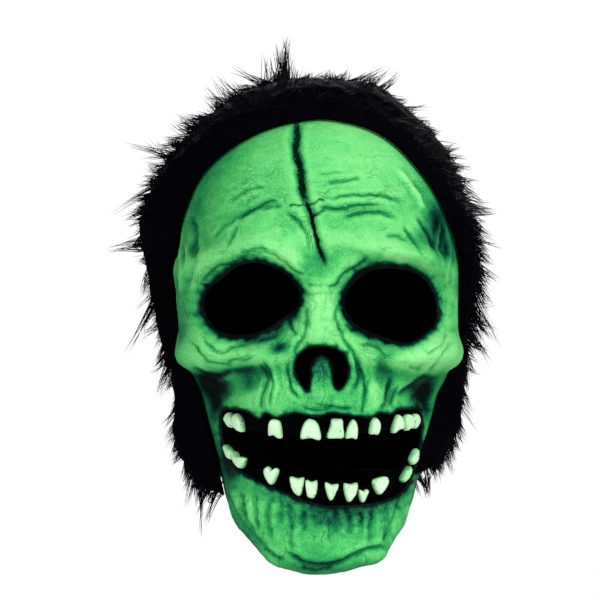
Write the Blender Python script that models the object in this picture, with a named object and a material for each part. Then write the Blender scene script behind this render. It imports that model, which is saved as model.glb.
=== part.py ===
"""Full-head skull mask: a hollow moulded latex head, black gums with separate teeth, and a deep fur wig.

Metres, +Z up, the face looks along -Y. The origin is inside the crown, where the top of the wearer's head
touches.
"""

import math

import bmesh
import bpy
import numpy as np
from mathutils import Vector

# Overall sizes of the moulded head, without the fur
HEIGHT = 0.314
HALF_BREADTH = 0.094
FRONT_REACH = 0.104
BACK_REACH = 0.108

# Latex wall, and the depth of the face's relief
WALL = 0.0025
RELIEF = 0.010

# Eye sockets: where they sit and how large the cut hole is
EYE_SPACING = 0.98 * HALF_BREADTH
EYE_DROP = 0.4385 * HEIGHT
EYE_HALF_WIDTH = 0.0300
EYE_HALF_HEIGHT = 0.0245
EYE_TILT = math.radians(10)
SOCKET_EDGE = 0.0085
SOCKET_SLOPE = 0.0120
SOCKET_SINK = 0.0085
RIM_AT = 0.0110
RIM_WIDTH = 0.0075
RIM_LIFT = 0.0028

# Nose: an arch-shaped hole round a tongue of latex
NOSE_DROP = 0.572 * HEIGHT
NOSE_HALF_WIDTH = 0.0150
NOSE_HALF_HEIGHT = 0.0135
TONGUE_HALF_WIDTH = 0.0055
TONGUE_TOP = 0.0065
NOSE_ARCH = 0.28 * math.pi
NOSE_FOOT = 0.86

# Mouth, gums and teeth
MOUTH_HALF_WIDTH = 0.713 * HALF_BREADTH
MOUTH_DROP = 0.6655 * HEIGHT
MOUTH_DEPTH = 0.1975 * HEIGHT
GUM_THICKNESS = 0.0045
UPPER_GUM_SEAT = 0.0016
LOWER_GUM_SEAT = 0.0009
TOOTH_SEAT = 0.0005
GUM_OVERLAP = 0.0060
GUM_SHOWN = 0.0105
TOOTH_THICKNESS = 0.0048
TOOTH_LENGTH = 0.0130
TOOTH_LIP_GAP = 0.0012
GUM_REACH = 0.94

# Crack in the forehead
CRACK_WIDTH = 0.0038
CRACK_DEPTH = 0.0014
CRACK_CLEAR = 0.0025
CRACK_TAPER = 0.6

# How far in front of and behind the face its openings are cut
CUT_FRONT = -1.60 * FRONT_REACH
CUT_BACK = -0.30 * FRONT_REACH

# Fur wig: how far its backing stands off the latex, how thick it is at its edge and beyond, and its locks
FUR_SEAT = 0.0024
FUR_EDGE = 0.0030
FUR_BODY = 0.0115
FUR_FEATHER = 0.020
FUR_RISE = 0.033
FUR_COLUMNS = 22
FUR_PLACES = (0.7, 1.5, 2.7, 3.2, 4.0, 4.9, 5.8, 6.8, 7.7, 8.5, 9.3, 10.3, 11.3, 12.2, 13.1)
LOCK_LENGTH = 0.019
LOCK_SPREAD = 0.30
LOCK_ROOM = 0.45
LOCK_OUT = 0.75
LOCK_BACK = 0.45
LOCK_RISE = 0.25
LOCK_HANG = 2.2
LOCK_SWING_STEP = 7.3
LOCK_SWING_START = 1.7
CROWN_TUFT_LEAN = 0.65

# The two steps in which a lock is drawn out: reach as a share of the lock, width left, and how far it bends
LOCK_STEPS = ((0.45, 0.62, 0.45), (0.55, 0.00, 0.80))

# Rings of the head from the crown to the neck opening. Drops are shares of HEIGHT. Front, back and side are
# shares of FRONT_REACH, BACK_REACH and HALF_BREADTH. Hair is the angle from the nose where the fur begins.
RING_COLUMNS = ("name", "front_drop", "back_drop", "front", "back", "side", "square", "hair")
RINGS = (
    ("crown", 0.000, 0.000, 0.000, 0.000, 0.000, 2.00, -60),
    ("cap", 0.011, 0.011, 0.330, 0.330, 0.330, 2.00, -45),
    ("upper", 0.045, 0.045, 0.585, 0.585, 0.585, 2.05, -27),
    ("hairline", 0.096, 0.096, 0.780, 0.780, 0.775, 2.10, 37),
    ("forehead", 0.166, 0.166, 0.915, 0.910, 0.905, 2.20, 53),
    ("bulge", 0.248, 0.255, 0.985, 0.980, 0.975, 2.30, 64),
    ("brow", 0.338, 0.350, 1.000, 1.000, 1.000, 2.35, 75),
    ("sockets", 0.436, 0.446, 0.985, 1.000, 0.990, 2.35, 78),
    ("cheeks", 0.541, 0.541, 0.990, 0.965, 0.965, 2.30, 79),
    ("muzzle", 0.637, 0.620, 0.995, 0.910, 0.870, 2.25, 71),
    ("mouth", 0.726, 0.682, 0.985, 0.860, 0.795, 2.20, 67),
    ("underlip", 0.818, 0.723, 0.960, 0.825, 0.750, 2.25, 64),
    ("jaw", 0.901, 0.755, 0.945, 0.800, 0.718, 2.30, 62),
    ("chin", 0.965, 0.780, 0.955, 0.785, 0.692, 2.35, 60),
    ("hem", 0.996, 0.796, 0.890, 0.775, 0.676, 2.35, 60),
    ("turned_under", 0.992, 0.804, 0.735, 0.755, 0.656, 2.35, 60),
)
CHIN_DIP = 2.7
RELIEF_UNDER_FUR = math.radians(2)
RELIEF_FADE = math.radians(16)

# Raised and sunk forms of the face. Across and span are shares of HALF_BREADTH, drop and rise are shares of
# HEIGHT, tilt lowers the outer end in degrees, lift is a share of RELIEF, and twin repeats it opposite.
FORM_COLUMNS = ("name", "across", "drop", "span", "rise", "tilt", "lift", "twin")
FORMS = (
    ("brow_ridge", 0.52, 0.338, 0.40, 0.028, 12, 1.10, True),
    ("brow_bulge", 0.48, 0.285, 0.33, 0.045, 8, 0.35, True),
    ("glabella", 0.00, 0.355, 0.16, 0.045, 0, 0.40, False),
    ("nose_bridge", 0.00, 0.455, 0.10, 0.075, 0, 0.80, False),
    ("nose_end", 0.00, 0.508, 0.15, 0.030, 0, 0.60, False),
    ("cheekbone", 0.80, 0.534, 0.26, 0.036, 16, 0.95, True),
    ("under_eye", 0.44, 0.550, 0.34, 0.022, 6, 0.55, True),
    ("canine_hollow", 0.44, 0.588, 0.17, 0.030, 0, -0.50, True),
    ("cheek_hollow", 0.80, 0.628, 0.24, 0.042, 10, -1.15, True),
    ("muzzle", 0.00, 0.640, 0.52, 0.048, 0, 0.50, False),
    ("canine_ridge", 0.34, 0.612, 0.07, 0.045, 0, 0.25, True),
    ("temple_hollow", 0.90, 0.290, 0.13, 0.100, 0, -0.45, True),
    ("under_lip", 0.00, 0.885, 0.45, 0.024, 0, -0.30, False),
    ("chin", 0.00, 0.950, 0.38, 0.034, 0, 0.45, False),
    ("jaw_edge", 0.56, 0.860, 0.13, 0.080, 0, 0.30, True),
)

# Edges of the mouth, across as a share of MOUTH_HALF_WIDTH and depth as a share of MOUTH_DEPTH
UPPER_EDGE = (
    (-1.00, 0.02),
    (-0.70, 0.04),
    (-0.35, 0.07),
    (0.00, 0.05),
    (0.35, 0.06),
    (0.70, 0.03),
    (1.00, 0.02),
)
LOWER_EDGE = (
    (-1.00, 0.40),
    (-0.90, 0.60),
    (-0.70, 0.79),
    (-0.40, 0.93),
    (0.00, 0.99),
    (0.40, 0.98),
    (0.70, 0.88),
    (0.90, 0.67),
    (1.00, 0.42),
)

# Teeth: across and width are shares of MOUTH_HALF_WIDTH, seen from the front. Length, and gap, which is how
# far the root stands off the lip, are shares of TOOTH_LENGTH, and lean is in degrees.
TOOTH_COLUMNS = ("across", "width", "length", "gap", "lean")
UPPER_TEETH = (
    (-0.905, 0.085, 0.85, 0.05, -4),
    (-0.800, 0.105, 0.95, 0.05, 4),
    (-0.455, 0.145, 1.00, 0.08, -3),
    (-0.110, 0.205, 1.05, 0.05, 0),
    (0.125, 0.160, 1.00, 0.08, 2),
    (0.283, 0.135, 1.02, 0.08, -2),
    (0.515, 0.115, 0.98, 0.05, 0),
    (0.742, 0.120, 0.90, 0.05, -3),
    (0.852, 0.088, 0.85, 0.08, 0),
    (0.938, 0.068, 0.75, 0.10, 3),
)
LOWER_TEETH = (
    (-0.905, 0.085, 0.65, 0.12, 12),
    (-0.790, 0.125, 0.80, 0.12, 18),
    (-0.494, 0.160, 1.02, 0.12, 8),
    (-0.254, 0.150, 1.00, 0.12, 5),
    (-0.098, 0.140, 1.00, 0.12, 0),
    (0.091, 0.160, 1.00, 0.12, 0),
    (0.280, 0.150, 1.00, 0.12, -2),
    (0.412, 0.095, 0.75, 0.12, 0),
    (0.576, 0.160, 1.00, 0.12, -4),
    (0.808, 0.120, 0.85, 0.12, -18),
    (0.912, 0.066, 0.70, 0.12, 0),
)

# Sections of a tooth from its root: place along it, and width and thickness as shares; then their corners
TOOTH_SECTIONS = ((0.00, 0.80, 0.75), (0.45, 1.00, 1.00), (0.85, 0.98, 0.85), (1.00, 0.80, 0.45))
TOOTH_CORNERS = ((-1.00, 0.00), (1.00, 0.00), (1.00, 0.55), (0.55, 1.00), (-0.55, 1.00), (-1.00, 0.55))

# Line of the crack down the forehead: across as a share of HALF_BREADTH, drop as a share of HEIGHT
CRACK_LINE = (
    (-0.160, 0.064),
    (-0.168, 0.110),
    (-0.155, 0.160),
    (-0.130, 0.205),
    (-0.105, 0.245),
    (-0.060, 0.275),
    (-0.030, 0.320),
    (0.020, 0.365),
)


def column(table, columns, name):
    """One named column of a table, as an array."""
    return np.array([row[columns.index(name)] for row in table], float)


RING = {name: column(RINGS, RING_COLUMNS, name) for name in RING_COLUMNS[1:]}
LAST_RING = len(RINGS) - 1


def through(values, place, odd=False):
    """A smooth curve through the values at places 0, 1, 2 and so on. Odd curves change sign at place 0."""
    first = -values[1] if odd else values[1]
    padded = np.concatenate([[first], values, [2 * values[-1] - values[-2]]])
    step = np.clip(np.floor(place).astype(int), 0, len(values) - 2)
    share = place - step
    a, b, c, d = (padded[step + k] for k in range(4))
    return b + share * (c - a + share * (2 * a - 5 * b + 4 * c - d + share * (3 * (b - c) + d - a))) / 2


def along(points, across):
    """The second column of a short table of points, smoothly joined, at the given places in the first."""
    xs, ys = (np.array(values, float) for values in zip(*points))
    return through(ys, np.interp(across, xs, np.arange(len(xs))))


def power(value, exponent):
    return np.sign(value) * np.abs(value) ** exponent


def base_point(angle, place):
    """A point of the plain head. Angle 0 is the nose, and place counts the rings down from the crown."""
    fold = 2 / through(RING["square"], place)
    front = FRONT_REACH * through(RING["front"], place, odd=True)
    back = BACK_REACH * through(RING["back"], place, odd=True)
    side = HALF_BREADTH * through(RING["side"], place, odd=True)
    front_drop = HEIGHT * through(RING["front_drop"], place)
    back_drop = HEIGHT * through(RING["back_drop"], place)
    cosine = power(np.cos(angle), fold)
    dip = ((1 + np.cos(angle)) / 2) ** CHIN_DIP
    return np.stack(
        [
            side * power(np.sin(angle), fold),
            -np.where(cosine > 0, front, back) * cosine,
            WALL - back_drop - (front_drop - back_drop) * dip,
        ],
        axis=-1,
    )


def base_normal(angle, place):
    """The outward direction of the plain head."""
    small = 1e-3
    place = np.maximum(place, 2 * small)
    around = base_point(angle + small, place) - base_point(angle - small, place)
    down = base_point(angle, place + small) - base_point(angle, place - small)
    normal = np.cross(down, around)
    return normal / np.linalg.norm(normal, axis=-1, keepdims=True)


def smooth_step(value):
    value = np.clip(value, 0, 1)
    return value * value * (3 - 2 * value)


def socket_distance(x, z):
    """How far a point, seen from the front, lies outside the edge of its eye hole."""
    across = np.abs(x) - EYE_SPACING / 2
    up = z - (WALL - EYE_DROP)
    turned = across * math.cos(EYE_TILT) - up * math.sin(EYE_TILT)
    raised = across * math.sin(EYE_TILT) + up * math.cos(EYE_TILT)
    scaled = np.hypot(turned / EYE_HALF_WIDTH, raised / EYE_HALF_HEIGHT)
    slope = np.hypot(turned / EYE_HALF_WIDTH**2, raised / EYE_HALF_HEIGHT**2)
    return scaled * (scaled - 1) / np.maximum(slope, 1e-6)


def relief(x, z):
    """How far the face stands out from the plain head, seen from the front."""
    total = np.zeros_like(x)
    for _, across, drop, span, rise, tilt, lift, twin in FORMS:
        for hand in (1, -1) if twin else (1,):
            sideways = hand * x - across * HALF_BREADTH
            up = z - (WALL - drop * HEIGHT)
            lean = math.radians(tilt)
            turned = (sideways * math.cos(lean) - up * math.sin(lean)) / (span * HALF_BREADTH)
            raised = (sideways * math.sin(lean) + up * math.cos(lean)) / (rise * HEIGHT)
            total += lift * RELIEF * np.exp(-(turned**2) - raised**2)
    distance = socket_distance(x, z)
    rim = np.exp(-(((distance - RIM_AT) / RIM_WIDTH) ** 2))
    inside = smooth_step((SOCKET_EDGE - distance) / SOCKET_SLOPE)
    return total + RIM_LIFT * rim - SOCKET_SINK * inside


def hair_angle(place):
    """The angle from the nose at which the fur begins on each ring, none above the hairline's top."""
    signed = np.sign(RING["hair"]) * RING["hair"] ** 2
    return np.radians(np.sqrt(np.maximum(through(signed, place), 0)))


def skin_point(angle, place, offset):
    """A point of the moulded head, offset outwards from its outer skin. The relief fades under the fur."""
    base, normal = base_point(angle, place), base_normal(angle, place)
    turned = np.abs((angle + math.pi) % (2 * math.pi) - math.pi)
    front = smooth_step((hair_angle(place) + RELIEF_UNDER_FUR - turned) / RELIEF_FADE)
    height = front * relief(base[..., 0], base[..., 2])
    return base + normal * (height + offset)[..., None]


def face_place(x, z):
    """The angle and place on the head of a point of the face seen from the front."""
    angle = 0.0
    for _ in range(12):
        low, high = 0.0, float(LAST_RING - 1)
        for _ in range(24):
            place = (low + high) / 2
            if base_point(np.float64(angle), np.float64(place))[2] > z:
                low = place
            else:
                high = place
        side = HALF_BREADTH * float(through(RING["side"], np.float64(place)))
        share = min(abs(x) / side, 0.999) ** (float(through(RING["square"], np.float64(place))) / 2)
        angle = math.copysign(math.asin(share), x)
    return angle, place


def face_point(x, z, offset):
    """The point of the face behind a place seen from the front."""
    angle, place = face_place(x, z)
    return Vector(skin_point(np.float64(angle), np.float64(place), np.float64(offset)))


def material(name, colour, roughness):
    made = bpy.data.materials.get(name) or bpy.data.materials.new(name)
    made.use_nodes = True
    shader = made.node_tree.nodes["Principled BSDF"]
    shader.inputs["Base Color"].default_value = (*colour, 1)
    shader.inputs["Roughness"].default_value = roughness
    return made


GREEN_LATEX = ("green_latex", (0.07, 0.55, 0.12), 0.55)
BLACK_LATEX = ("black_latex", (0.005, 0.005, 0.007), 0.5)
TOOTH_PAINT = ("tooth_paint", (0.45, 0.85, 0.42), 0.4)
BLACK_FUR = ("black_fur", (0.006, 0.006, 0.010), 0.6)


def solid(name, points, faces, finish):
    """An object from points and faces, with its faces turned outwards."""
    mesh = bpy.data.meshes.new(name)
    mesh.from_pydata([tuple(point) for point in points], [], faces)
    builder = bmesh.new()
    builder.from_mesh(mesh)
    bmesh.ops.recalc_face_normals(builder, faces=builder.faces)
    builder.to_mesh(mesh)
    builder.free()
    mesh.materials.append(material(*finish))
    mesh.shade_smooth()
    mesh.set_sharp_from_angle(angle=math.radians(65))
    made = bpy.data.objects.new(name, mesh)
    bpy.context.scene.collection.objects.link(made)
    return made


def hide_cutter(cutter):
    cutter.hide_render = True
    cutter.display_type = "WIRE"


def cut(target, cutter):
    """Cuts one shape out of another with a Boolean modifier."""
    hide_cutter(cutter)
    modifier = target.modifiers.new(f"cut_{cutter.name}", "BOOLEAN")
    modifier.operation = "DIFFERENCE"
    modifier.object = cutter


def spaced(knots, counts):
    """Rising places: each stretch between two knots is shared into its count of steps."""
    parts = [np.linspace(a, b, n, endpoint=False) for a, b, n in zip(knots, knots[1:], counts)]
    return np.concatenate([*parts, [knots[-1]]])


def moulded_head():
    """The hollow latex head: an outer skin, an inner skin one wall in, and the turned hem between them."""
    half = spaced((0, 80, 180), (14, 5))
    angles = np.radians(np.concatenate([half, -half[-2:0:-1]]))
    places = spaced((0, 2, 5, 9, LAST_RING), (3, 4, 17, 10))[1:]
    columns, rows = len(angles), len(places)
    angle, place = np.meshgrid(angles, places)
    outer = skin_point(angle, place, np.zeros_like(angle)).reshape(-1, 3)
    inner = skin_point(angle, place, np.full_like(angle, -WALL)).reshape(-1, 3)
    points = [*outer, *inner, (0, 0, WALL), (0, 0, 0)]
    skin, poles = rows * columns, (2 * rows * columns, 2 * rows * columns + 1)
    faces = []
    for c in range(columns):
        n = (c + 1) % columns
        for layer in (0, 1):
            start = layer * skin
            faces.append((poles[layer], start + c, start + n))
            for r in range(rows - 1):
                a, b = start + r * columns, start + (r + 1) * columns
                faces.append((a + c, b + c, b + n, a + n))
        last = (rows - 1) * columns
        faces.append((last + c, last + n, skin + last + n, skin + last + c))
    return solid("latex_head", points, faces, GREEN_LATEX)


def prism(name, outline):
    """A cutter: an outline seen from the front, given depth along Y."""
    count = len(outline)
    points = [(x, y, z) for y in (CUT_FRONT, CUT_BACK) for x, z in outline]
    faces = [tuple(range(count)), tuple(range(2 * count - 1, count - 1, -1))]
    faces += [(i, (i + 1) % count, count + (i + 1) % count, count + i) for i in range(count)]
    return solid(name, points, faces, BLACK_LATEX)


def eye_outline(hand, count=24):
    centre_x, centre_z = hand * EYE_SPACING / 2, WALL - EYE_DROP
    outline = []
    for turn in np.linspace(0, 2 * math.pi, count, endpoint=False):
        along_x, along_z = EYE_HALF_WIDTH * math.cos(turn), EYE_HALF_HEIGHT * math.sin(turn)
        turned = along_x * math.cos(EYE_TILT) + along_z * math.sin(EYE_TILT)
        raised = along_z * math.cos(EYE_TILT) - along_x * math.sin(EYE_TILT)
        outline.append((centre_x + hand * turned, centre_z + raised))
    return outline


def nose_outline(count=13):
    """An arch open at the bottom round the tongue: the outer arch one way, then the tongue's arch back."""
    centre_z = WALL - NOSE_DROP
    outer = []
    for turn in np.linspace(-NOSE_ARCH, math.pi + NOSE_ARCH, count):
        outer.append((NOSE_HALF_WIDTH * math.cos(turn), centre_z + NOSE_HALF_HEIGHT * math.sin(turn)))
    foot = centre_z - NOSE_HALF_HEIGHT * NOSE_FOOT
    tongue = []
    for turn in np.linspace(math.pi, 0, count // 2):
        tongue.append((TONGUE_HALF_WIDTH * math.cos(turn), centre_z + TONGUE_TOP * math.sin(turn)))
    return [*outer, (-TONGUE_HALF_WIDTH, foot), *tongue, (TONGUE_HALF_WIDTH, foot)]


def upper_edge(x):
    """Height of the mouth's upper edge at a place across it."""
    return WALL - MOUTH_DROP - MOUTH_DEPTH * float(along(UPPER_EDGE, np.float64(x / MOUTH_HALF_WIDTH)))


def lower_edge(x):
    """Height of the mouth's lower edge at a place across it."""
    return WALL - MOUTH_DROP - MOUTH_DEPTH * float(along(LOWER_EDGE, np.float64(x / MOUTH_HALF_WIDTH)))


def mouth_outline(count=17):
    across = np.linspace(-MOUTH_HALF_WIDTH, MOUTH_HALF_WIDTH, count)
    return [(x, upper_edge(x)) for x in across] + [(x, lower_edge(x)) for x in across[::-1]]


def crack_cutter():
    """A V-shaped groove that follows the forehead."""
    spread = 1 + CRACK_CLEAR / CRACK_DEPTH
    points = []
    for i, (across, drop) in enumerate(CRACK_LINE):
        x, z = across * HALF_BREADTH, WALL - drop * HEIGHT
        narrow = 1 - CRACK_TAPER * (i / (len(CRACK_LINE) - 1)) ** 2
        bottom = face_point(x, z, -CRACK_DEPTH)
        top = face_point(x, z, CRACK_CLEAR)
        sideways = Vector((CRACK_WIDTH / 2 * narrow * spread, 0, 0))
        points += [bottom, top - sideways, top + sideways]
    count = len(CRACK_LINE)
    faces = [(0, 1, 2), (3 * count - 3, 3 * count - 1, 3 * count - 2)]
    for i in range(count - 1):
        a, b = 3 * i, 3 * i + 3
        for k in range(3):
            faces.append((a + k, a + (k + 1) % 3, b + (k + 1) % 3, b + k))
    return solid("crack_cutter", points, faces, BLACK_LATEX)


def gum_corner(edge, upwards, x, shown, depth):
    """A corner of a gum's section: on its hidden or its shown border, and this deep behind its front."""
    z = edge(x) + upwards * (-GUM_SHOWN if shown else GUM_OVERLAP)
    seat = UPPER_GUM_SEAT if upwards > 0 else LOWER_GUM_SEAT
    return face_point(x, z, -WALL - seat - depth)


def gum(name, edge, upwards, count=19):
    """A curved black band behind one edge of the mouth. Upwards is 1 where it hides above its edge."""
    points = []
    for x in np.linspace(-GUM_REACH, GUM_REACH, count) * MOUTH_HALF_WIDTH:
        for shown, depth in ((False, 0), (True, 0), (True, GUM_THICKNESS), (False, GUM_THICKNESS)):
            points.append(gum_corner(edge, upwards, x, shown, depth))
    faces = [(0, 1, 2, 3), tuple(range(4 * count - 4, 4 * count))]
    for i in range(count - 1):
        a, b = 4 * i, 4 * i + 4
        faces += [(a + k, a + (k + 1) % 4, b + (k + 1) % 4, b + k) for k in range(4)]
    return solid(name, points, faces, BLACK_LATEX)


def tooth(name, edge, upwards, row):
    """One tooth, lofted from its root at the lip to its biting edge, standing on the front of its gum."""
    across, width, length, gap, lean = row
    x, half = across * MOUTH_HALF_WIDTH, width * MOUTH_HALF_WIDTH / 2
    ends = [edge(x - half), edge(x), edge(x + half)]
    root_z = (min(ends) if upwards > 0 else max(ends)) - upwards * (TOOTH_LIP_GAP + gap * TOOTH_LENGTH)
    hidden, shown = (gum_corner(edge, upwards, x, side, 0) for side in (False, True))
    gum_down = (shown - hidden).normalized()
    root = hidden + gum_down * (hidden.z - root_z) / -gum_down.z
    left, right = (gum_corner(edge, upwards, x + side, True, 0) for side in (-half, half))
    true_length, true_half = length * TOOTH_LENGTH, (right - left).length / 2
    sideways = (right - left).normalized()
    outward = gum_down.cross(sideways).normalized()
    if outward.y > 0:
        outward.negate()
    sideways = gum_down.cross(outward).normalized()
    if sideways.x < 0:
        sideways.negate()
    turn = math.radians(lean)
    down = gum_down * math.cos(turn) + sideways * math.sin(turn)
    sideways = sideways * math.cos(turn) - gum_down * math.sin(turn)
    middle = root + gum_down * true_length / 2 + outward * TOOTH_SEAT
    points = []
    for share, wide, thick in TOOTH_SECTIONS:
        centre = middle + down * (share - 0.5) * true_length
        broad, deep = sideways * wide * true_half, outward * thick * TOOTH_THICKNESS
        for side, front in TOOTH_CORNERS:
            points.append(centre + broad * side + deep * front)
    ring, rows = len(TOOTH_CORNERS), len(TOOTH_SECTIONS)
    faces = [tuple(range(ring)), tuple(range(ring * (rows - 1), ring * rows))]
    for r in range(rows - 1):
        a, b = r * ring, (r + 1) * ring
        faces += [(a + k, a + (k + 1) % ring, b + (k + 1) % ring, b + k) for k in range(ring)]
    return solid(name, points, faces, TOOTH_PAINT)


def lock_direction(point, normal):
    """The way a lock lies: outwards, back from the face, and hanging more the lower it grows."""
    low = float(np.clip(-point[2] / HEIGHT, 0, 1))
    lay = Vector(normal) * LOCK_OUT + Vector((0, LOCK_BACK, LOCK_RISE - LOCK_HANG * low))
    return lay.normalized()


def hairline_top():
    """The place on the head, over the middle of the face, at which the fur begins."""
    signed = np.sign(RING["hair"]) * RING["hair"] ** 2
    above = int(np.argmax(signed > 0)) - 1
    return float(np.interp(0, signed[above : above + 2], (above, above + 1)))


def fur_rows():
    """Rows of the wig from the crown down: points of its inner and outer side, from edge round to edge."""
    top = hairline_top()
    shares = np.linspace(0, 1, FUR_COLUMNS)
    inner, outer = [], []
    for place in sorted([*FUR_PLACES, top]):
        start = hair_angle(np.float64(place))
        angle = start + shares * (2 * math.pi - 2 * start)
        level = np.full_like(angle, place)
        seat = skin_point(angle, level, np.full_like(angle, FUR_SEAT))
        around = 2 * math.pi * HALF_BREADTH * float(through(RING["side"], np.float64(place), odd=True))
        edge = np.minimum(shares, 1 - shares) * around + max(top - place, 0) * FUR_RISE
        body = FUR_EDGE + FUR_BODY * smooth_step(edge / FUR_FEATHER)
        inner.append(seat)
        outer.append(seat + base_normal(angle, level) * body[:, None])
    closed = sum(place <= top for place in FUR_PLACES) + 1
    return (inner, outer), closed


def fur_wig():
    """The wig: a backing that follows the head, and tapered locks drawn out of every outer face."""
    sides, closed = fur_rows()
    rows, columns = len(sides[0]), FUR_COLUMNS
    points, index = [], {}

    def vertex(side, r, c):
        key = (side, r, 0 if r < closed and c == columns - 1 else c)
        if key not in index:
            index[key] = len(points)
            points.append(sides[side][r][key[2]])
        return index[key]

    faces, grown = [], []
    for r in range(rows - 1):
        for c in range(columns - 1):
            for side in (0, 1):
                corners = ((r, c), (r + 1, c), (r + 1, c + 1), (r, c + 1))
                ring = [vertex(side, *corner) for corner in corners]
                faces.append(tuple(v for i, v in enumerate(ring) if v != ring[i - 1]))
            grown.append(len(faces) - 1)
    tuft = FUR_EDGE + FUR_BODY + LOCK_LENGTH
    for side, height in ((0, 0), (1, tuft)):
        pole = len(points)
        points.append((-CROWN_TUFT_LEAN * height, 0, WALL + FUR_SEAT + height))
        faces += [(pole, vertex(side, 0, c), vertex(side, 0, c + 1)) for c in range(columns - 1)]
    for r in range(closed - 1, rows - 1):
        for c in (0, columns - 1):
            faces.append((vertex(0, r, c), vertex(0, r + 1, c), vertex(1, r + 1, c), vertex(1, r, c)))
    r = rows - 1
    for c in range(columns - 1):
        faces.append((vertex(0, r, c), vertex(0, r, c + 1), vertex(1, r, c + 1), vertex(1, r, c)))
    wig = solid("fur_wig", points, faces, BLACK_FUR)
    draw_locks(wig, grown)
    return wig


def draw_locks(wig, grown):
    """Draws a tapered lock out of each of these faces, and bends it the way the fur lies."""
    builder = bmesh.new()
    builder.from_mesh(wig.data)
    builder.faces.ensure_lookup_table()
    chosen = [builder.faces[i] for i in grown]
    for reach, width, bend in LOCK_STEPS:
        made = bmesh.ops.extrude_discrete_faces(builder, faces=chosen)["faces"]
        for count, face in enumerate(made):
            centre = face.calc_center_median()
            normal = face.normal.copy()
            swing = 1 + LOCK_SPREAD * math.sin(LOCK_SWING_STEP * count + LOCK_SWING_START)
            room = min(1.0, math.sqrt(face.calc_area()) / (LOCK_ROOM * LOCK_LENGTH))
            way = normal.lerp(lock_direction(centre, normal), bend).normalized()
            for vert in face.verts:
                vert.co = centre + way * reach * swing * room * LOCK_LENGTH + (vert.co - centre) * width
        chosen = made
    bmesh.ops.remove_doubles(builder, verts=[v for f in chosen for v in f.verts], dist=1e-5)
    bmesh.ops.recalc_face_normals(builder, faces=builder.faces)
    builder.to_mesh(wig.data)
    builder.free()


def build():
    for leftover in list(bpy.data.objects):
        bpy.data.objects.remove(leftover)
    head = moulded_head()
    for name, hand in (("left", -1), ("right", 1)):
        cut(head, prism(f"eye_{name}_cutter", eye_outline(hand)))
    cut(head, prism("nose_cutter", nose_outline()))
    cut(head, prism("mouth_cutter", mouth_outline()))
    cut(head, crack_cutter())
    gum("upper_gum", upper_edge, 1)
    gum("lower_gum", lower_edge, -1)
    for number, row in enumerate(UPPER_TEETH, 1):
        tooth(f"upper_tooth_{number:02d}", upper_edge, 1, row)
    for number, row in enumerate(LOWER_TEETH, 1):
        tooth(f"lower_tooth_{number:02d}", lower_edge, -1, row)
    fur_wig()


build()
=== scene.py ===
"""Looks of a full-head skull mask: moulded latex face, black gums, gapped teeth and a shaggy black fur wig.

Metres, +Z up, the face looks along -Y. The origin is inside the crown of the hollow head.
"""

from __future__ import annotations

import logging
import math
from dataclasses import dataclass
from enum import Enum
from typing import Any, NamedTuple, Sequence, Union

import bmesh
import bpy
import numpy as np
from bpy.types import Material, Mesh, NodeTree, Object
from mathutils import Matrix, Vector, noise
from mathutils.kdtree import KDTree

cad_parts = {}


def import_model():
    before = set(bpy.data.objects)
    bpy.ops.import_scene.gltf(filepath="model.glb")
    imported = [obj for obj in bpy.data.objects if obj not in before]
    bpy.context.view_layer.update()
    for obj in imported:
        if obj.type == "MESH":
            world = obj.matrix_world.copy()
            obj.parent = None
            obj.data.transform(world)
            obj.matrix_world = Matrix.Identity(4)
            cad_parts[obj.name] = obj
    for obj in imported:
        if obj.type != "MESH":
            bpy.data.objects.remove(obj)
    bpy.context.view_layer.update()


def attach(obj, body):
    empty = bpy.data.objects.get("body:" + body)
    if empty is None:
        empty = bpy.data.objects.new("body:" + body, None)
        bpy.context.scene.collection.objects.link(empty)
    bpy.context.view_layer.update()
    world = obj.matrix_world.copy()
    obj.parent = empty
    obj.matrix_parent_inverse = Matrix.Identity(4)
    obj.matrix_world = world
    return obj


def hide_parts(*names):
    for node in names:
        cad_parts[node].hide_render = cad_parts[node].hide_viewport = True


LOG = logging.getLogger("skull_mask")
MM = 0.001
Array = np.ndarray
Triple = tuple[float, float, float]
Stops = tuple[tuple[float, Triple], ...]
Outline = tuple[tuple[float, float], ...]

# What Blender calls attributes that hold a vector
VECTOR = "FLOAT_VECTOR"

# So many widths beside a crease, its dark line of paint and painted shade has long run out
FAR_WIDTHS = 5.0


class Ring(NamedTuple):
    """A level of the head.

    Drops are shares of its height, and reaches are shares of its half sizes. The fur starts hair degrees from
    the nose, and further back by left on the -X side and by right on the +X side.
    """

    name: str
    front_drop: float
    back_drop: float
    front: float
    back: float
    side: float
    square: float
    hair: float
    left: float
    right: float


class Form(NamedTuple):
    """A raised or sunk form of the face, as shares of the head's half breadth, height and relief."""

    name: str
    across: float
    drop: float
    span: float
    rise: float
    tilt: float
    lift: float
    twin: bool


class Crease(NamedTuple):
    """A line pressed into the face, or raised where its depth is negative. Millimetres across and down. Its
    wash darkens it as paint and painted shade, or lightens it as a painted highlight where negative.
    """

    name: str
    width: float
    depth: float
    wash_and_shade: float
    points: Outline


class Spot(NamedTuple):
    """A soft round hollow or patch, darkened by paint and painted shade, or lightened as a painted highlight.
    Millimetres across, down, half width, half height and deep.
    """

    name: str
    across: float
    down: float
    wide: float
    high: float
    tilt: float
    depth: float
    wash_and_shade: float


class Pleat(NamedTuple):
    """An upright pleat of the chin: millimetres across, where it starts and where it ends."""

    across: float
    top: float
    bottom: float


class Opening(NamedTuple):
    """A hole in the face, with the dark washes round it.

    One wash is close to its edge and one is wider, and their reaches are metres. The outline's points are
    millimetres across and down.
    """

    name: str
    close: float
    close_reach: float
    wide: float
    wide_reach: float
    points: Outline


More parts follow.
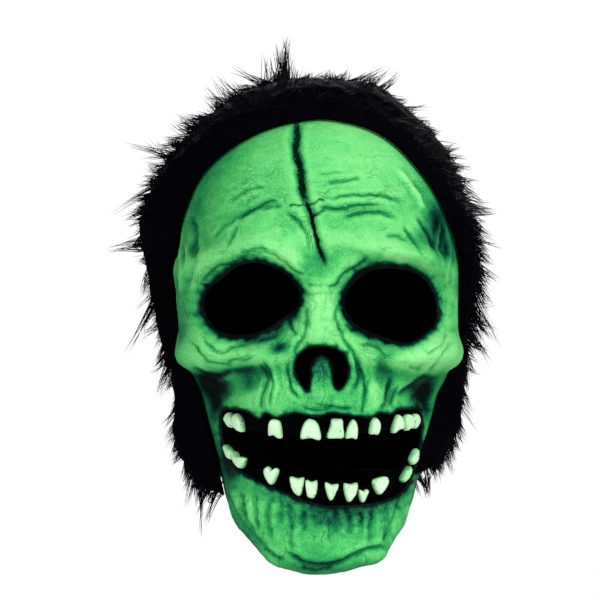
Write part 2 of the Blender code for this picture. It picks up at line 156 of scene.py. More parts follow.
RINGS = (
    Ring("crown", 0.000, 0.000, 0.000, 0.000, 0.000, 2.00, -60, 0.0, 0.0),
    Ring("cap", 0.011, 0.011, 0.330, 0.330, 0.330, 2.00, -45, 0.0, 0.0),
    Ring("upper", 0.045, 0.045, 0.585, 0.585, 0.585, 2.05, -27, 0.0, 0.0),
    Ring("hairline", 0.096, 0.096, 0.780, 0.780, 0.775, 2.10, 37, -1.0, -4.5),
    Ring("forehead", 0.166, 0.166, 0.915, 0.910, 0.905, 2.20, 53, 6.5, -6.5),
    Ring("bulge", 0.248, 0.255, 0.985, 0.980, 0.975, 2.30, 64, 11.0, -4.0),
    Ring("brow", 0.338, 0.350, 1.000, 1.000, 1.000, 2.35, 75, 17.0, -2.0),
    Ring("sockets", 0.436, 0.446, 0.985, 1.000, 0.990, 2.35, 78, 18.0, 0.0),
    Ring("cheeks", 0.541, 0.541, 0.990, 0.965, 0.965, 2.30, 79, 12.0, 5.0),
    Ring("muzzle", 0.637, 0.620, 0.995, 0.910, 0.870, 2.25, 71, 10.0, 9.0),
    Ring("mouth", 0.726, 0.682, 0.985, 0.860, 0.795, 2.20, 67, 10.0, 10.0),
    Ring("underlip", 0.818, 0.723, 0.960, 0.825, 0.750, 2.25, 64, 10.0, 9.0),
    Ring("jaw", 0.901, 0.755, 0.945, 0.800, 0.718, 2.30, 62, 8.0, 7.0),
    Ring("chin", 0.965, 0.780, 0.955, 0.785, 0.692, 2.35, 60, 6.0, 4.0),
    Ring("hem", 0.996, 0.796, 0.890, 0.775, 0.676, 2.35, 60, 5.0, 3.0),
    Ring("turned_under", 0.992, 0.804, 0.735, 0.755, 0.656, 2.35, 60, 5.0, 3.0),
)

FORMS = (
    Form("brow_ridge", 0.52, 0.338, 0.40, 0.028, 12, 1.10, True),
    Form("brow_bulge", 0.48, 0.285, 0.33, 0.045, 8, 0.35, True),
    Form("glabella", 0.00, 0.355, 0.16, 0.045, 0, 0.40, False),
    Form("nose_bridge", 0.00, 0.455, 0.10, 0.075, 0, 0.80, False),
    Form("nose_end", 0.00, 0.508, 0.15, 0.030, 0, 0.60, False),
    Form("cheekbone", 0.80, 0.534, 0.26, 0.036, 16, 0.95, True),
    Form("under_eye", 0.44, 0.550, 0.34, 0.022, 6, 0.55, True),
    Form("canine_hollow", 0.44, 0.588, 0.17, 0.030, 0, -0.50, True),
    Form("cheek_hollow", 0.80, 0.628, 0.24, 0.042, 10, -1.15, True),
    Form("muzzle", 0.00, 0.640, 0.52, 0.048, 0, 0.50, False),
    Form("canine_ridge", 0.34, 0.612, 0.07, 0.045, 0, 0.25, True),
    Form("temple_hollow", 0.90, 0.290, 0.13, 0.100, 0, -0.45, True),
    Form("under_lip", 0.00, 0.885, 0.45, 0.024, 0, -0.30, False),
    Form("chin", 0.00, 0.950, 0.38, 0.034, 0, 0.45, False),
    Form("jaw_edge", 0.56, 0.860, 0.13, 0.080, 0, 0.30, True),
)

CREASES = (
    Crease("crack", 2.0, 2.1, 3.2, (
        (-13, -6), (-15, 15), (-15.7, 28), (-15.7, 38), (-13.5, 45), (-12.5, 54), (-11, 64), (-8, 72.5),
        (-6, 77), (-4, 87), (-1.5, 97), (1.5, 105.5), (3.5, 113.5),
    )),
    Crease("crack_upper", 3.1, 1.2, 2.1, (
        (-13, -8), (-15, 15), (-15.7, 28), (-15.7, 38), (-13.5, 45), (-12.5, 54), (-11, 64), (-9, 70),
    )),
    Crease("crack_left_branch", 0.7, 0.9, 0.5, ((-9, 70), (-13, 71.5), (-17, 71), (-21, 73))),
    Crease("crack_right_branch", 0.7, 0.9, 0.5, ((-8, 71), (-4, 70), (0, 68), (4, 68.5))),
    Crease("crack_low_branch", 0.7, 0.9, 0.4, ((-6, 78), (-1, 77), (4, 74.5))),
    Crease("forehead_left_low", 1.3, 1.05, 0.48, (
        (-55, 81), (-49, 77), (-43, 74), (-38, 71), (-32, 69), (-26, 69),
    )),
    Crease("forehead_left_mid", 1.0, 0.7, 0.32, ((-39, 74), (-34, 73), (-29, 72), (-24, 71))),
    Crease("forehead_left_top", 1.0, 0.56, 0.24, ((-61, 70), (-53, 65), (-46, 61), (-41, 60), (-34, 59))),
    Crease("forehead_left_tail", 1.2, 0.56, 0.2, ((-70, 95), (-65, 87), (-58, 82), (-53, 78))),
    Crease("bulge_left_inner", 1.2, 1.0, 0.35, ((-24, 75), (-15, 81), (-10, 88), (-8, 94), (-8, 101))),
    Crease("bulge_left_outer", 1.2, 0.8, 0.25, ((-53, 85), (-57, 92), (-61, 99))),
    Crease("rim_left_top", 1.1, 1.4, 0.65, (
        (-78, 123), (-72, 115), (-65, 110), (-57, 109), (-50, 105), (-44, 105),
    )),
    Crease("rim_left_upper", 1.2, 1.0, 0.50, ((-53, 103), (-47, 102), (-41, 100), (-31, 101))),
    Crease("rim_left_inner", 1.0, 1.2, 0.30, (
        (-42, 104), (-34, 102), (-27, 106), (-20, 111), (-15, 115), (-9, 116),
    )),
    Crease("forehead_right_top", 1.1, 0.77, 0.36, ((4, 56), (11, 56), (19, 55), (28, 53))),
    Crease("forehead_right_high", 0.9, 0.42, 0.16, ((-2, 51), (6, 51), (15, 50))),
    Crease("forehead_right_mid", 1.1, 0.91, 0.4, (
        (5, 68), (12, 66), (20, 65), (28, 65), (38, 65), (47, 67), (55, 71),
    )),
    Crease("forehead_right_low", 1.2, 1.12, 0.48, (
        (-2, 75), (3, 73), (11, 74), (18, 73), (24, 71), (33, 71), (43, 72),
    )),
    Crease("forehead_right_base", 1.4, 1.12, 0.44, (
        (14, 80), (21, 78), (27, 76), (34, 76), (42, 77), (52, 81),
    )),
    Crease("bulge_right_outer", 1.2, 0.8, 0.30, ((41, 92), (49, 92), (58, 95))),
    Crease("brow_right", 1.2, 1.5, 0.55, (
        (1, 127), (8, 124), (12, 120), (17, 115), (23, 111), (29, 107), (34, 106),
    )),
    Crease("rim_right_top", 1.1, 1.2, 0.40, ((38, 111), (42, 108), (49, 110), (55, 110), (61, 113))),
    Crease("rim_right_low", 1.0, 1.0, 0.50, ((19, 123), (23, 117), (29, 113), (35, 111))),
    Crease("temple_ridge_right", 1.3, -1.6, -0.15, ((49, 45), (59, 58), (65, 67), (68, 75))),
    Crease("temple_line_right", 1.1, 0.9, 0.35, ((61, 77), (69, 88), (74, 98), (80, 109))),
    Crease("temple_line_inner", 1.1, 0.9, 0.30, ((53, 84), (61, 95), (70, 108))),
    Crease("temple_vein_right", 1.0, -1.2, -0.15, ((80, 78), (77, 91), (76, 100), (80, 108), (82, 120))),
    Crease("temple_vein_outer", 1.0, -1.2, -0.15, ((80, 78), (84, 90), (86, 100), (84, 112), (83, 126))),
    Crease("temple_vein_left", 0.9, -1.1, -0.20, ((-90, 98), (-89, 108), (-89, 120), (-91, 131))),
    Crease("temple_vein_near", 0.9, -1.0, -0.18, ((-86, 95), (-85, 105), (-86, 114))),
    Crease("temple_edge_left", 1.6, 1.4, 0.15, (
        (-86, 76), (-82, 85), (-81, 98), (-81, 106), (-84, 117), (-86, 127),
    )),
    Crease("under_eye_left", 1.1, 1.3, 0.50, (
        (-77, 157), (-73, 162), (-68, 166), (-63, 167), (-57, 164), (-46, 162),
    )),
    Crease("under_eye_left_low", 1.2, 1.5, 0.55, (
        (-87, 158), (-82, 163), (-78, 168), (-73, 173), (-68, 174), (-61, 175), (-57, 172), (-50, 172),
        (-45, 170), (-38, 167),
    )),
    Crease("cheek_edge_left", 1.3, 1.4, 0.40, (
        (-85, 177), (-81, 179), (-75, 182), (-68, 183), (-62, 181), (-57, 178),
    )),
    Crease("lid_left", 1.0, 0.8, 0.35, ((-41, 160), (-34, 158), (-28, 156))),
    Crease("fold_left", 1.2, 1.5, 0.50, (
        (-40, 173), (-37, 177), (-34, 184), (-36, 190), (-38, 197), (-39, 205),
    )),
    Crease("fold_left_inner", 1.1, 1.3, 0.45, ((-38, 171), (-34, 177), (-31, 186), (-33, 195), (-34, 203))),
    Crease("nose_fold_left", 1.0, 1.3, 0.42, ((-21, 173), (-21, 180), (-20, 186), (-18, 192), (-13, 197))),
    Crease("nose_side_left", 1.1, 1.1, 0.40, ((-20, 145), (-18, 152), (-14, 156))),
    Crease("nose_side_left_inner", 1.2, 1.1, 0.40, (
        (-10, 134), (-9, 146), (-11, 157), (-15, 162), (-18, 170),
    )),
    Crease("nose_root", 1.1, 1.1, 0.16, ((-12, 127), (-6, 129.5), (1, 128), (6, 129), (11, 126.5))),
    Crease("nose_root_high", 1.0, 0.8, 0.12, ((-10, 123), (-1, 124), (8, 124))),
    Crease("nose_fold_right", 1.1, 1.3, 0.42, (
        (14, 131), (11, 138), (10, 145), (13, 153), (17, 161), (22, 169), (24, 176), (24, 187), (18, 196),
    )),
    Crease("nose_fold_right_outer", 1.0, 1.2, 0.40, (
        (14, 158), (20, 165), (25, 174), (27, 181), (29, 191), (28, 199),
    )),
    Crease("eye_corner_right", 0.9, 0.8, 0.30, ((13, 139), (16, 142), (19, 147))),
    Crease("eye_corner_low", 0.9, 0.8, 0.30, ((15, 149), (18, 150), (21, 154))),
    Crease("lid_right", 1.3, 1.6, 0.60, ((24, 160), (30, 162), (36, 163), (39, 165), (43, 169), (49, 168))),
    Crease("cheek_right", 1.1, 1.0, 0.35, ((57, 176), (63, 177), (67, 174))),
    Crease("cheek_right_upper", 1.0, 0.9, 0.30, ((68, 168), (75, 166), (81, 160), (83, 152))),
    Crease("cheek_right_outer", 1.1, 1.0, 0.35, ((70, 180), (74, 176), (78, 171), (83, 166), (88, 159))),
    Crease("cheek_edge_right", 1.6, 1.4, 0.55, ((50, 196), (54, 193), (61, 189), (67, 185), (76, 183))),
    Crease("fold_right", 1.3, 1.7, 0.50, ((47, 183), (45, 190), (43, 198), (40, 206))),
    Crease("fold_right_outer", 1.1, 1.1, 0.45, ((51, 187), (48, 195), (45, 203))),
    Crease("canine_side", 1.1, 1.0, 0.35, ((32, 183), (30, 192), (28, 201), (27, 207))),
    Crease("muzzle_line", 1.0, 0.8, 0.30, ((-14, 201), (-6, 204), (1, 204), (8, 202))),
    Crease("muzzle_line_right", 1.0, 0.8, 0.30, ((-5, 200), (4, 201), (13, 203), (21, 203))),
    Crease("chin_fold", 1.3, 1.4, 0.34, (
        (-23, 295), (-16, 300), (-7, 304), (3, 304), (10, 303), (20, 299), (27, 295),
    )),
    Crease("chin_fold_low", 1.2, 1.1, 0.35, ((-14, 306), (-3, 308), (10, 306))),
    Crease("chin_lump_right", 1.4, 1.6, 0.35, ((21, 300), (27, 296), (34, 294), (44, 293))),
    Crease("chin_lump_left", 1.2, 1.1, 0.25, ((-38, 293), (-31, 298), (-23, 302))),
    Crease("jaw_left", 1.3, 0.9, 0.18, ((-63, 255), (-57, 268), (-47, 283), (-34, 296))),
    Crease("jaw_left_inner", 1.1, 0.8, 0.20, ((-52, 257), (-50, 272), (-43, 285))),
    Crease("jaw_right", 1.2, 0.9, 0.22, ((55, 255), (50, 268), (45, 282), (41, 291))),
)

CHIN_PLEATS = (
    Pleat(-50, 258, 277), Pleat(-43, 258, 284), Pleat(-33, 263, 290), Pleat(-27, 261, 280),
    Pleat(-20, 262, 298), Pleat(-10, 269, 284), Pleat(5, 273, 289), Pleat(11, 269, 286),
    Pleat(20, 272, 286), Pleat(26, 270, 282), Pleat(34, 269, 293), Pleat(43, 264, 294),
)

SPOTS = (
    Spot("temple_left", -91, 140, 10, 30, 0, 0.0, 0.12),
    Spot("temple_right", 81, 98, 9, 24, 0, 0.0, 0.36),
    Spot("temple_right_high", 71, 82, 6, 13, -25, 0.0, 0.32),
    Spot("bulge_left", -37, 92, 22, 11, 6, -2.6, -0.04),
    Spot("bulge_right", 28, 91, 21, 10, 0, -2.6, 0.00),
    Spot("bulge_left_top", -50, 76, 20, 6, 25, 1.0, 0.12),
    Spot("bulge_right_top", 24, 74, 26, 5, 0, 0.8, 0.06),
    Spot("rim_shade_left", -45, 101, 24, 4, 8, 0.5, 0.04),
    Spot("rim_shade_right", 28, 105, 14, 4, -25, 0.6, 0.16),
    Spot("rim_outer_right", 62, 100, 10, 9, 0, 0.6, 0.12),
    Spot("muzzle_shade", 8, 199, 32, 9, 0, 0.0, 0.17),
    Spot("muzzle_right", 27, 190, 8, 16, 0, 0.3, 0.14),
    Spot("chin_shade_right", 35, 276, 12, 20, 0, 0.0, 0.05),
    Spot("chin_shade_low", 2, 305, 34, 9, 0, 0.0, 0.25),
    Spot("chin_shade_middle", 6, 288, 46, 26, 0, 0.0, 0.16),
    Spot("temple_swell_left", -92, 112, 14, 30, 0, -3.0, 0.0),
    Spot("cheek_hollow_left", -73, 190, 13, 10, 10, 1.5, 0.48),
    Spot("cheek_hollow_right", 68, 194, 11, 7, 20, 1.5, 0.50),
    Spot("glabella_shade", -2, 111, 13, 12, 0, 0.4, 0.27),
    Spot("mouth_corner_right", 71, 206, 6, 8, 0, 0.5, 0.32),
    Spot("mouth_corner_left", -69, 206, 6, 8, 0, 0.5, 0.28),
    Spot("nose_tongue", 0.5, 178, 6.5, 9, 0, 0.0, 0.36),
    Spot("lid_hollow_left", -27, 164, 7, 4, 25, 1.6, 0.62),
    Spot("temple_light_left", -93, 93, 7, 15, 0, 0.0, -0.20),
    Spot("jaw_light_right", 70, 224, 4, 12, -10, 0.0, -0.14),
    Spot("lid_shade_right", 46, 167, 11, 6, 0, 0.0, 0.07),
    Spot("cheek_pit_left", -50, 178, 11, 4, 0, 1.4, 0.34),
    Spot("cheek_pit_low", -47, 188, 5, 6, 0, 1.0, 0.24),
    Spot("cheek_pit_right", 39.5, 173, 4.5, 7, -10, 1.4, 0.30),
    Spot("cheek_pit_right_low", 44, 180, 4, 5, 0, 0.8, 0.14),
    Spot("fold_band_right", 45, 194, 5, 9, 10, 1.0, 0.24),
    Spot("jaw_shadow_left", -68, 248, 9, 28, 10, 0.0, 0.20),
    Spot("jaw_shadow_right", 72, 240, 6, 30, -8, 0.0, 0.10),
    Spot("chin_shadow_left", -52, 286, 8, 22, 35, 0.0, 0.14),
    Spot("mouth_edge_left", -58, 244, 6, 11, 20, 0.0, 0.46),
    Spot("chin_edge_left", -46, 291, 10, 15, 30, 1.4, 0.06),
    Spot("brow_inner_left", -20, 107, 9, 6, 0, 0.0, -0.24),
    Spot("brow_right_light", 52, 106, 12, 5, 10, -0.6, -0.16),
    Spot("forehead_left_edge", -66, 44, 14, 32, -30, 0.0, 0.18),
    Spot("forehead_right_edge", 70, 62, 8, 26, 22, 0.0, 0.16),
    Spot("forehead_right_light", 22, 44, 34, 26, 0, 0.0, -0.05),
    Spot("nose_light", 1, 140, 10, 18, 0, -0.3, -0.10),
    Spot("chin_ball_right", 42, 304, 10, 9, 0, -6.0, 0.04),
    Spot("chin_ball_left", -30, 304, 10, 6, 0, -1.2, 0.0),
    Spot("canine_light_right", 35, 192, 3.5, 13, 5, -1.0, -0.12),
    Spot("cheek_pouch_right", 62, 172, 12, 7, 15, -1.2, -0.06),
    Spot("cheek_light_left", -66, 169, 14, 6, 5, -0.8, -0.05),
    Spot("cheek_light_right", 73, 162, 13, 13, 0, -0.5, -0.09),
    Spot("nose_root_light", 0, 128, 8, 10, 0, 0.0, -0.09),
    Spot("brow_light_left", -25, 104, 12, 6, 0, 0.0, -0.10),
    Spot("edge_dark_right", 78, 84, 5, 14, -20, 0.0, 0.20),
)

OPENINGS = (
    Opening("eye_left", 0.85, 0.0027, 0.26, 0.0080, (
        (-76, 137), (-73, 127), (-64, 119), (-53, 111), (-42, 109), (-31, 111.5), (-20.5, 118.5),
        (-13.5, 128), (-15, 137), (-25, 145), (-38, 153), (-51, 155.5), (-65, 153.5), (-73, 145.5),
    )),
    Opening("eye_right", 0.85, 0.0027, 0.26, 0.0080, (
        (16, 136), (19, 126), (27, 118), (38, 113), (51, 113), (63, 116), (72, 124), (76, 135), (76, 146),
        (68, 155), (57, 160.5), (44, 158), (30, 152.5), (20, 145.5),
    )),
    Opening("nose", 0.80, 0.0018, 0.14, 0.0060, (
        (-11, 189), (-15.5, 181), (-15.5, 172), (-9, 165), (0, 163), (10, 165), (16.5, 171), (17.5, 181),
        (15, 188), (10.5, 190), (8.6, 184), (7.8, 175), (4.8, 170), (0.8, 168.4), (-3.2, 170), (-6.4, 175),
        (-7.0, 184), (-8.2, 191),
    )),
    Opening("mouth", 0.90, 0.0017, 0.22, 0.0050, (
        (-64, 207), (-57, 205), (-48, 206), (-40, 211), (-35, 207), (-29, 210), (-18, 207), (-9, 208),
        (-1, 209), (6, 207), (16, 208), (25, 209), (33, 210), (39, 207), (46, 208), (52, 205), (61, 205),
        (65.5, 206), (67, 215), (66.5, 226), (63.5, 239), (58.5, 251), (52, 259), (39, 264), (21, 266),
        (3, 266), (-14, 261), (-31, 254.5), (-44, 248.5), (-55, 242), (-61, 233), (-64, 222),
    )),
)


def through(values: Array, place: Array, odd: bool = False) -> Array:
    """Reads a smooth curve that passes through the values.

    Args:
        values: The curve's values at the places 0, 1, 2 and so on.
        place: Where to read it.
        odd: Whether the curve changes sign at place 0.

    Returns:
        The curve's value at each place.
    """
    first = -values[1] if odd else values[1]
    padded = np.concatenate([[first], values, [2 * values[-1] - values[-2]]])
    step = np.clip(np.floor(place).astype(int), 0, len(values) - 2)
    share = place - step
    a, b, c, d = (padded[step + k] for k in range(4))
    return b + share * (c - a + share * (2 * a - 5 * b + 4 * c - d + share * (3 * (b - c) + d - a))) / 2


def power(value: Array, exponent: Array) -> Array:
    """Raises the size of a value to an exponent, and keeps its sign."""
    return np.sign(value) * np.abs(value) ** exponent


def smooth_step(value: Array) -> Array:
    """Eases a value from 0 to 1, level at both ends."""
    value = np.clip(value, 0, 1)
    return value * value * (3 - 2 * value)


def smooth_path(points: Sequence[tuple[float, float]], closed: bool = False, steps: int = 6) -> Array:
    """Draws a smooth line through a few points.

    Args:
        points: The points that it passes through.
        closed: Whether it returns to its first point.
        steps: How many pieces each stretch is drawn in.

    Returns:
        The line's points, one row each.
    """
    knots = np.array(points, float)
    if closed:
        padded = np.concatenate([knots[-1:], knots, knots[:2]])
    else:
        padded = np.concatenate([2 * knots[:1] - knots[1:2], knots, 2 * knots[-1:] - knots[-2:-1]])
    spans = len(padded) - 3
    place = np.linspace(0, spans, spans * steps + 1)
    step = np.minimum(place.astype(int), spans - 1)
    share = (place - step)[:, None]
    a, b, c, d = (padded[step + k] for k in range(4))
    line = b + share * (c - a + share * (2 * a - 5 * b + 4 * c - d + share * (3 * (b - c) + d - a))) / 2
    return line[:-1] if closed else line


def line_distance(x: Array, z: Array, line: Array) -> tuple[Array, Array, Array]:
    """Measures how far places lie from a line.

    Args:
        x: How far across each place is.
        z: How far up or down each place is.
        line: The line's points.

    Returns:
        The distance of each place, how far along the line that is, from 0 to 1, and 1 or -1 for its side.
    """
    start, run = line[:-1], np.diff(line, axis=0)
    squared = np.maximum((run**2).sum(axis=1), 1e-12)
    off_x, off_z = x[:, None] - start[:, 0], z[:, None] - start[:, 1]
    share = np.clip((off_x * run[:, 0] + off_z * run[:, 1]) / squared, 0, 1)
    gap = np.hypot(off_x - share * run[:, 0], off_z - share * run[:, 1])
    nearest = np.argmin(gap, axis=1)
    rows = np.arange(len(x))
    side = np.sign(off_x[rows, nearest] * run[nearest, 1] - off_z[rows, nearest] * run[nearest, 0])
    return gap[rows, nearest], (nearest + share[rows, nearest]) / len(run), side


def near_line(x: Array, z: Array, line: Array, margin: float) -> Array:
    """The numbers of the places that lie in the box round a line, widened by a margin on each side."""
    low, high = line.min(axis=0) - margin, line.max(axis=0) + margin
    return np.flatnonzero((x > low[0]) & (x < high[0]) & (z > low[1]) & (z < high[1]))


def turn_from_nose(angle: Array) -> Array:
    """How far angles are turned from the nose to either side."""
    return np.abs((angle + math.pi) % (2 * math.pi) - math.pi)


def run_along(line: Array) -> Array:
    """How far along a line each of its points is."""
    return np.concatenate([[0], np.cumsum(np.linalg.norm(np.diff(line, axis=0), axis=1))])


def mottle(points: Array, size: float, octaves: int = 3, stretch: Triple = (1, 1, 1)) -> Array:
    """Smooth random values over places in space, about -1 to 1, in patches of this size in metres."""
    scaled = points * (np.array(stretch) / size)
    return np.array([noise.fractal(Vector(p), 1.0, 2.0, octaves) for p in scaled])


@dataclass(frozen=True)
class HeadForm:
    """The shape that the latex, the gums, the teeth and the fur all follow."""

    height: float = 0.314
    half_breadth: float = 0.094
    front_reach: float = 0.104
    back_reach: float = 0.108
    wall: float = 0.0025
    relief_depth: float = 0.010
    eye_spacing: float = 0.98 * 0.094
    eye_drop: float = 0.4385 * 0.314
    eye_half_width: float = 0.0300
    eye_half_height: float = 0.0245
    eye_tilt: float = math.radians(10)
    socket_edge: float = 0.0085
    socket_slope: float = 0.0120
    socket_sink: float = 0.0085
    rim_at: float = 0.0110
    rim_width: float = 0.0075
    rim_lift: float = 0.0028
    chin_dip: float = 2.7
    relief_under_fur: float = math.radians(5)
    relief_fade: float = math.radians(14)
    hair_blend: float = 20

    def ring(self, name: str) -> Array:
        """One column of the table of rings."""
        return np.array([getattr(ring, name) for ring in RINGS], float)

    def base_point(self, angle: Array, place: Array) -> Array:
        """Finds a point of the plain head.

        Args:
            angle: Round the head, 0 at the nose.
            place: Down the head, counted in rings from the crown.

        Returns:
            The point, along the last axis.
        """
        fold = 2 / through(self.ring("square"), place)
        front = self.front_reach * through(self.ring("front"), place, odd=True)
        back = self.back_reach * through(self.ring("back"), place, odd=True)
        side = self.half_breadth * through(self.ring("side"), place, odd=True)
        front_drop = self.height * through(self.ring("front_drop"), place)
        back_drop = self.height * through(self.ring("back_drop"), place)
        cosine = power(np.cos(angle), fold)
        dip = ((1 + np.cos(angle)) / 2) ** self.chin_dip
        parts = [side * power(np.sin(angle), fold), -np.where(cosine > 0, front, back) * cosine]
        return np.stack([*parts, self.wall - back_drop - (front_drop - back_drop) * dip], axis=-1)

    def base_normal(self, angle: Array, place: Array) -> Array:
        """Finds the outward direction of the plain head.

        Args:
            angle: Round the head, 0 at the nose.
            place: Down the head, counted in rings from the crown.

        Returns:
            The direction, along the last axis.
        """
        small = 1e-3
        place = np.maximum(place, 2 * small)
        around = self.base_point(angle + small, place) - self.base_point(angle - small, place)
        down = self.base_point(angle, place + small) - self.base_point(angle, place - small)
        normal = np.cross(down, around)
        return normal / np.linalg.norm(normal, axis=-1, keepdims=True)

    def socket_distance(self, x: Array, z: Array) -> Array:
        """Measures how far places, seen from the front, lie outside the nearer eye hole.

        Args:
            x: How far across each is.
            z: How high each is.

        Returns:
            The distance of each.
        """
        across = np.abs(x) - self.eye_spacing / 2
        up = z - (self.wall - self.eye_drop)
        turned = across * math.cos(self.eye_tilt) - up * math.sin(self.eye_tilt)
        raised = across * math.sin(self.eye_tilt) + up * math.cos(self.eye_tilt)
        scaled = np.hypot(turned / self.eye_half_width, raised / self.eye_half_height)
        slope = np.hypot(turned / self.eye_half_width**2, raised / self.eye_half_height**2)
        return scaled * (scaled - 1) / np.maximum(slope, 1e-6)

    def relief(self, x: Array, z: Array) -> Array:
        """Works out how far the face stands out from the plain head, seen from the front.

        Args:
            x: How far across each place is.
            z: How high each place is.

        Returns:
            The height of each place.
        """
        total = np.zeros_like(x)
        for form in FORMS:
            for hand in (1, -1) if form.twin else (1,):
                sideways = hand * x - form.across * self.half_breadth
                up = z - (self.wall - form.drop * self.height)
                lean = math.radians(form.tilt)
                turned = (sideways * math.cos(lean) - up * math.sin(lean)) / (form.span * self.half_breadth)
                raised = (sideways * math.sin(lean) + up * math.cos(lean)) / (form.rise * self.height)
                total += form.lift * self.relief_depth * np.exp(-(turned**2) - raised**2)
        distance = self.socket_distance(x, z)
        rim = np.exp(-(((distance - self.rim_at) / self.rim_width) ** 2))
        inside = smooth_step((self.socket_edge - distance) / self.socket_slope)
        return total + self.rim_lift * rim - self.socket_sink * inside

    def signed_hair(self) -> Array:
        """The rings' hair angles squared, which keeps the hairline round where it crosses over the crown."""
        return np.sign(self.ring("hair")) * self.ring("hair") ** 2

    def hair_angle(self, place: Array, left: Array) -> Array:
        """Finds where the fur begins.

        Args:
            place: Down the head, counted in rings from the crown.
            left: Whether it is on the -X side.

        Returns:
            The angle from the nose.
        """
        plain = np.sqrt(np.maximum(through(self.signed_hair(), place), 0))
        further = np.where(left, through(self.ring("left"), place), through(self.ring("right"), place))
        return np.radians(plain + further * smooth_step(plain / self.hair_blend))

    def bare_share(self, angle: Array, place: Array) -> Array:
        """Works out how bare of fur places are.

        Args:
            angle: Round the head, 0 at the nose.
            place: Down the head, counted in rings from the crown.

        Returns:
            From 0 under the fur to 1 on the open face.
        """
        turned = turn_from_nose(angle)
        starts = self.hair_angle(place, np.sin(angle) < 0)
        return smooth_step((starts + self.relief_under_fur - turned) / self.relief_fade)

    def skin_point(self, angle: Array, place: Array, offset: float = 0.0) -> Array:
        """Finds a point of the moulded head.

        Args:
            angle: Round the head, 0 at the nose.
            place: Down the head, counted in rings from the crown.
            offset: How far outwards from the outer surface it lies.

        Returns:
            The point, along the last axis.
        """
        base, normal = self.base_point(angle, place), self.base_normal(angle, place)
        height = self.bare_share(angle, place) * self.relief(base[..., 0], base[..., 2])
        return base + normal * (height + offset)[..., None]

    def face_points(self, x: Array, z: Array, offset: float) -> Array:
        """Finds the points of the face behind places seen from the front.

        Args:
            x: How far across each is.
            z: How high each is.
            offset: How far outwards from the skin they lie.

        Returns:
            The points, one row each.
        """
        angle, place = np.zeros_like(x), np.zeros_like(x)
        for _ in range(12):
            low, high = np.zeros_like(x), np.full_like(x, len(RINGS) - 2.0)
            for _ in range(24):
                place = (low + high) / 2
                above = self.base_point(angle, place)[..., 2] > z
                low, high = np.where(above, place, low), np.where(above, high, place)
            side = self.half_breadth * through(self.ring("side"), place)
            share = np.minimum(np.abs(x) / side, 0.999) ** (through(self.ring("square"), place) / 2)
            angle = np.copysign(np.arcsin(share), x)
        return self.skin_point(angle, place, np.full_like(x, offset))


Operand = Union["Term", float, int, tuple]


class Term:
    """A node socket that takes part in Python expressions, such as 1 - mask * 0.5."""

    def __init__(self, graph: Graph, socket: Any) -> None:
        """Wraps one output socket of a graph."""
        self.graph = graph
        self.socket = socket

    @property
    def wide(self) -> bool:
        """Whether the socket carries a vector or a colour."""
        return self.socket.type in {"VECTOR", "RGBA"}

    def other(self, name: str) -> Term:
        """Another output of the node that this one comes from."""
        return Term(self.graph, self.graph.pick(self.socket.node.outputs, name))

    def join(self, operation: str, left: Operand, right: Operand) -> Term:
        """Adds the maths node for one operation.

        Args:
            operation: The node's operation.
            left: The value before the sign.
            right: The value after the sign.

        Returns:
            The result.
        """
        wide = [isinstance(side, tuple) or (isinstance(side, Term) and side.wide) for side in (left, right)]
        if not any(wide):
            return self.graph.add("ShaderNodeMath", {"operation": operation}, {0: left, 1: right})
        if operation == "MULTIPLY" and not all(wide):
            vector, scale = (left, right) if wide[0] else (right, left)
            sides = {"Vector": vector, "Scale": scale}
            return self.graph.add("ShaderNodeVectorMath", {"operation": "SCALE"}, sides)
        return self.graph.add("ShaderNodeVectorMath", {"operation": operation}, {0: left, 1: right})

    def __add__(self, other: Operand) -> Term:
        """Adds."""
        return self.join("ADD", self, other)

    def __sub__(self, other: Operand) -> Term:
        """Takes away."""
        return self.join("SUBTRACT", self, other)

    def __rsub__(self, other: Operand) -> Term:
        """Takes away from a number."""
        return self.join("SUBTRACT", other, self)

    def __mul__(self, other: Operand) -> Term:
        """Multiplies."""
        return self.join("MULTIPLY", self, other)

    def __pow__(self, other: Operand) -> Term:
        """Raises to a power."""
        return self.join("POWER", self, other)

    def clamped(self) -> Term:
        """The same value, kept between 0 and 1."""
        return self.graph.add("ShaderNodeClamp", {}, {"Value": self})


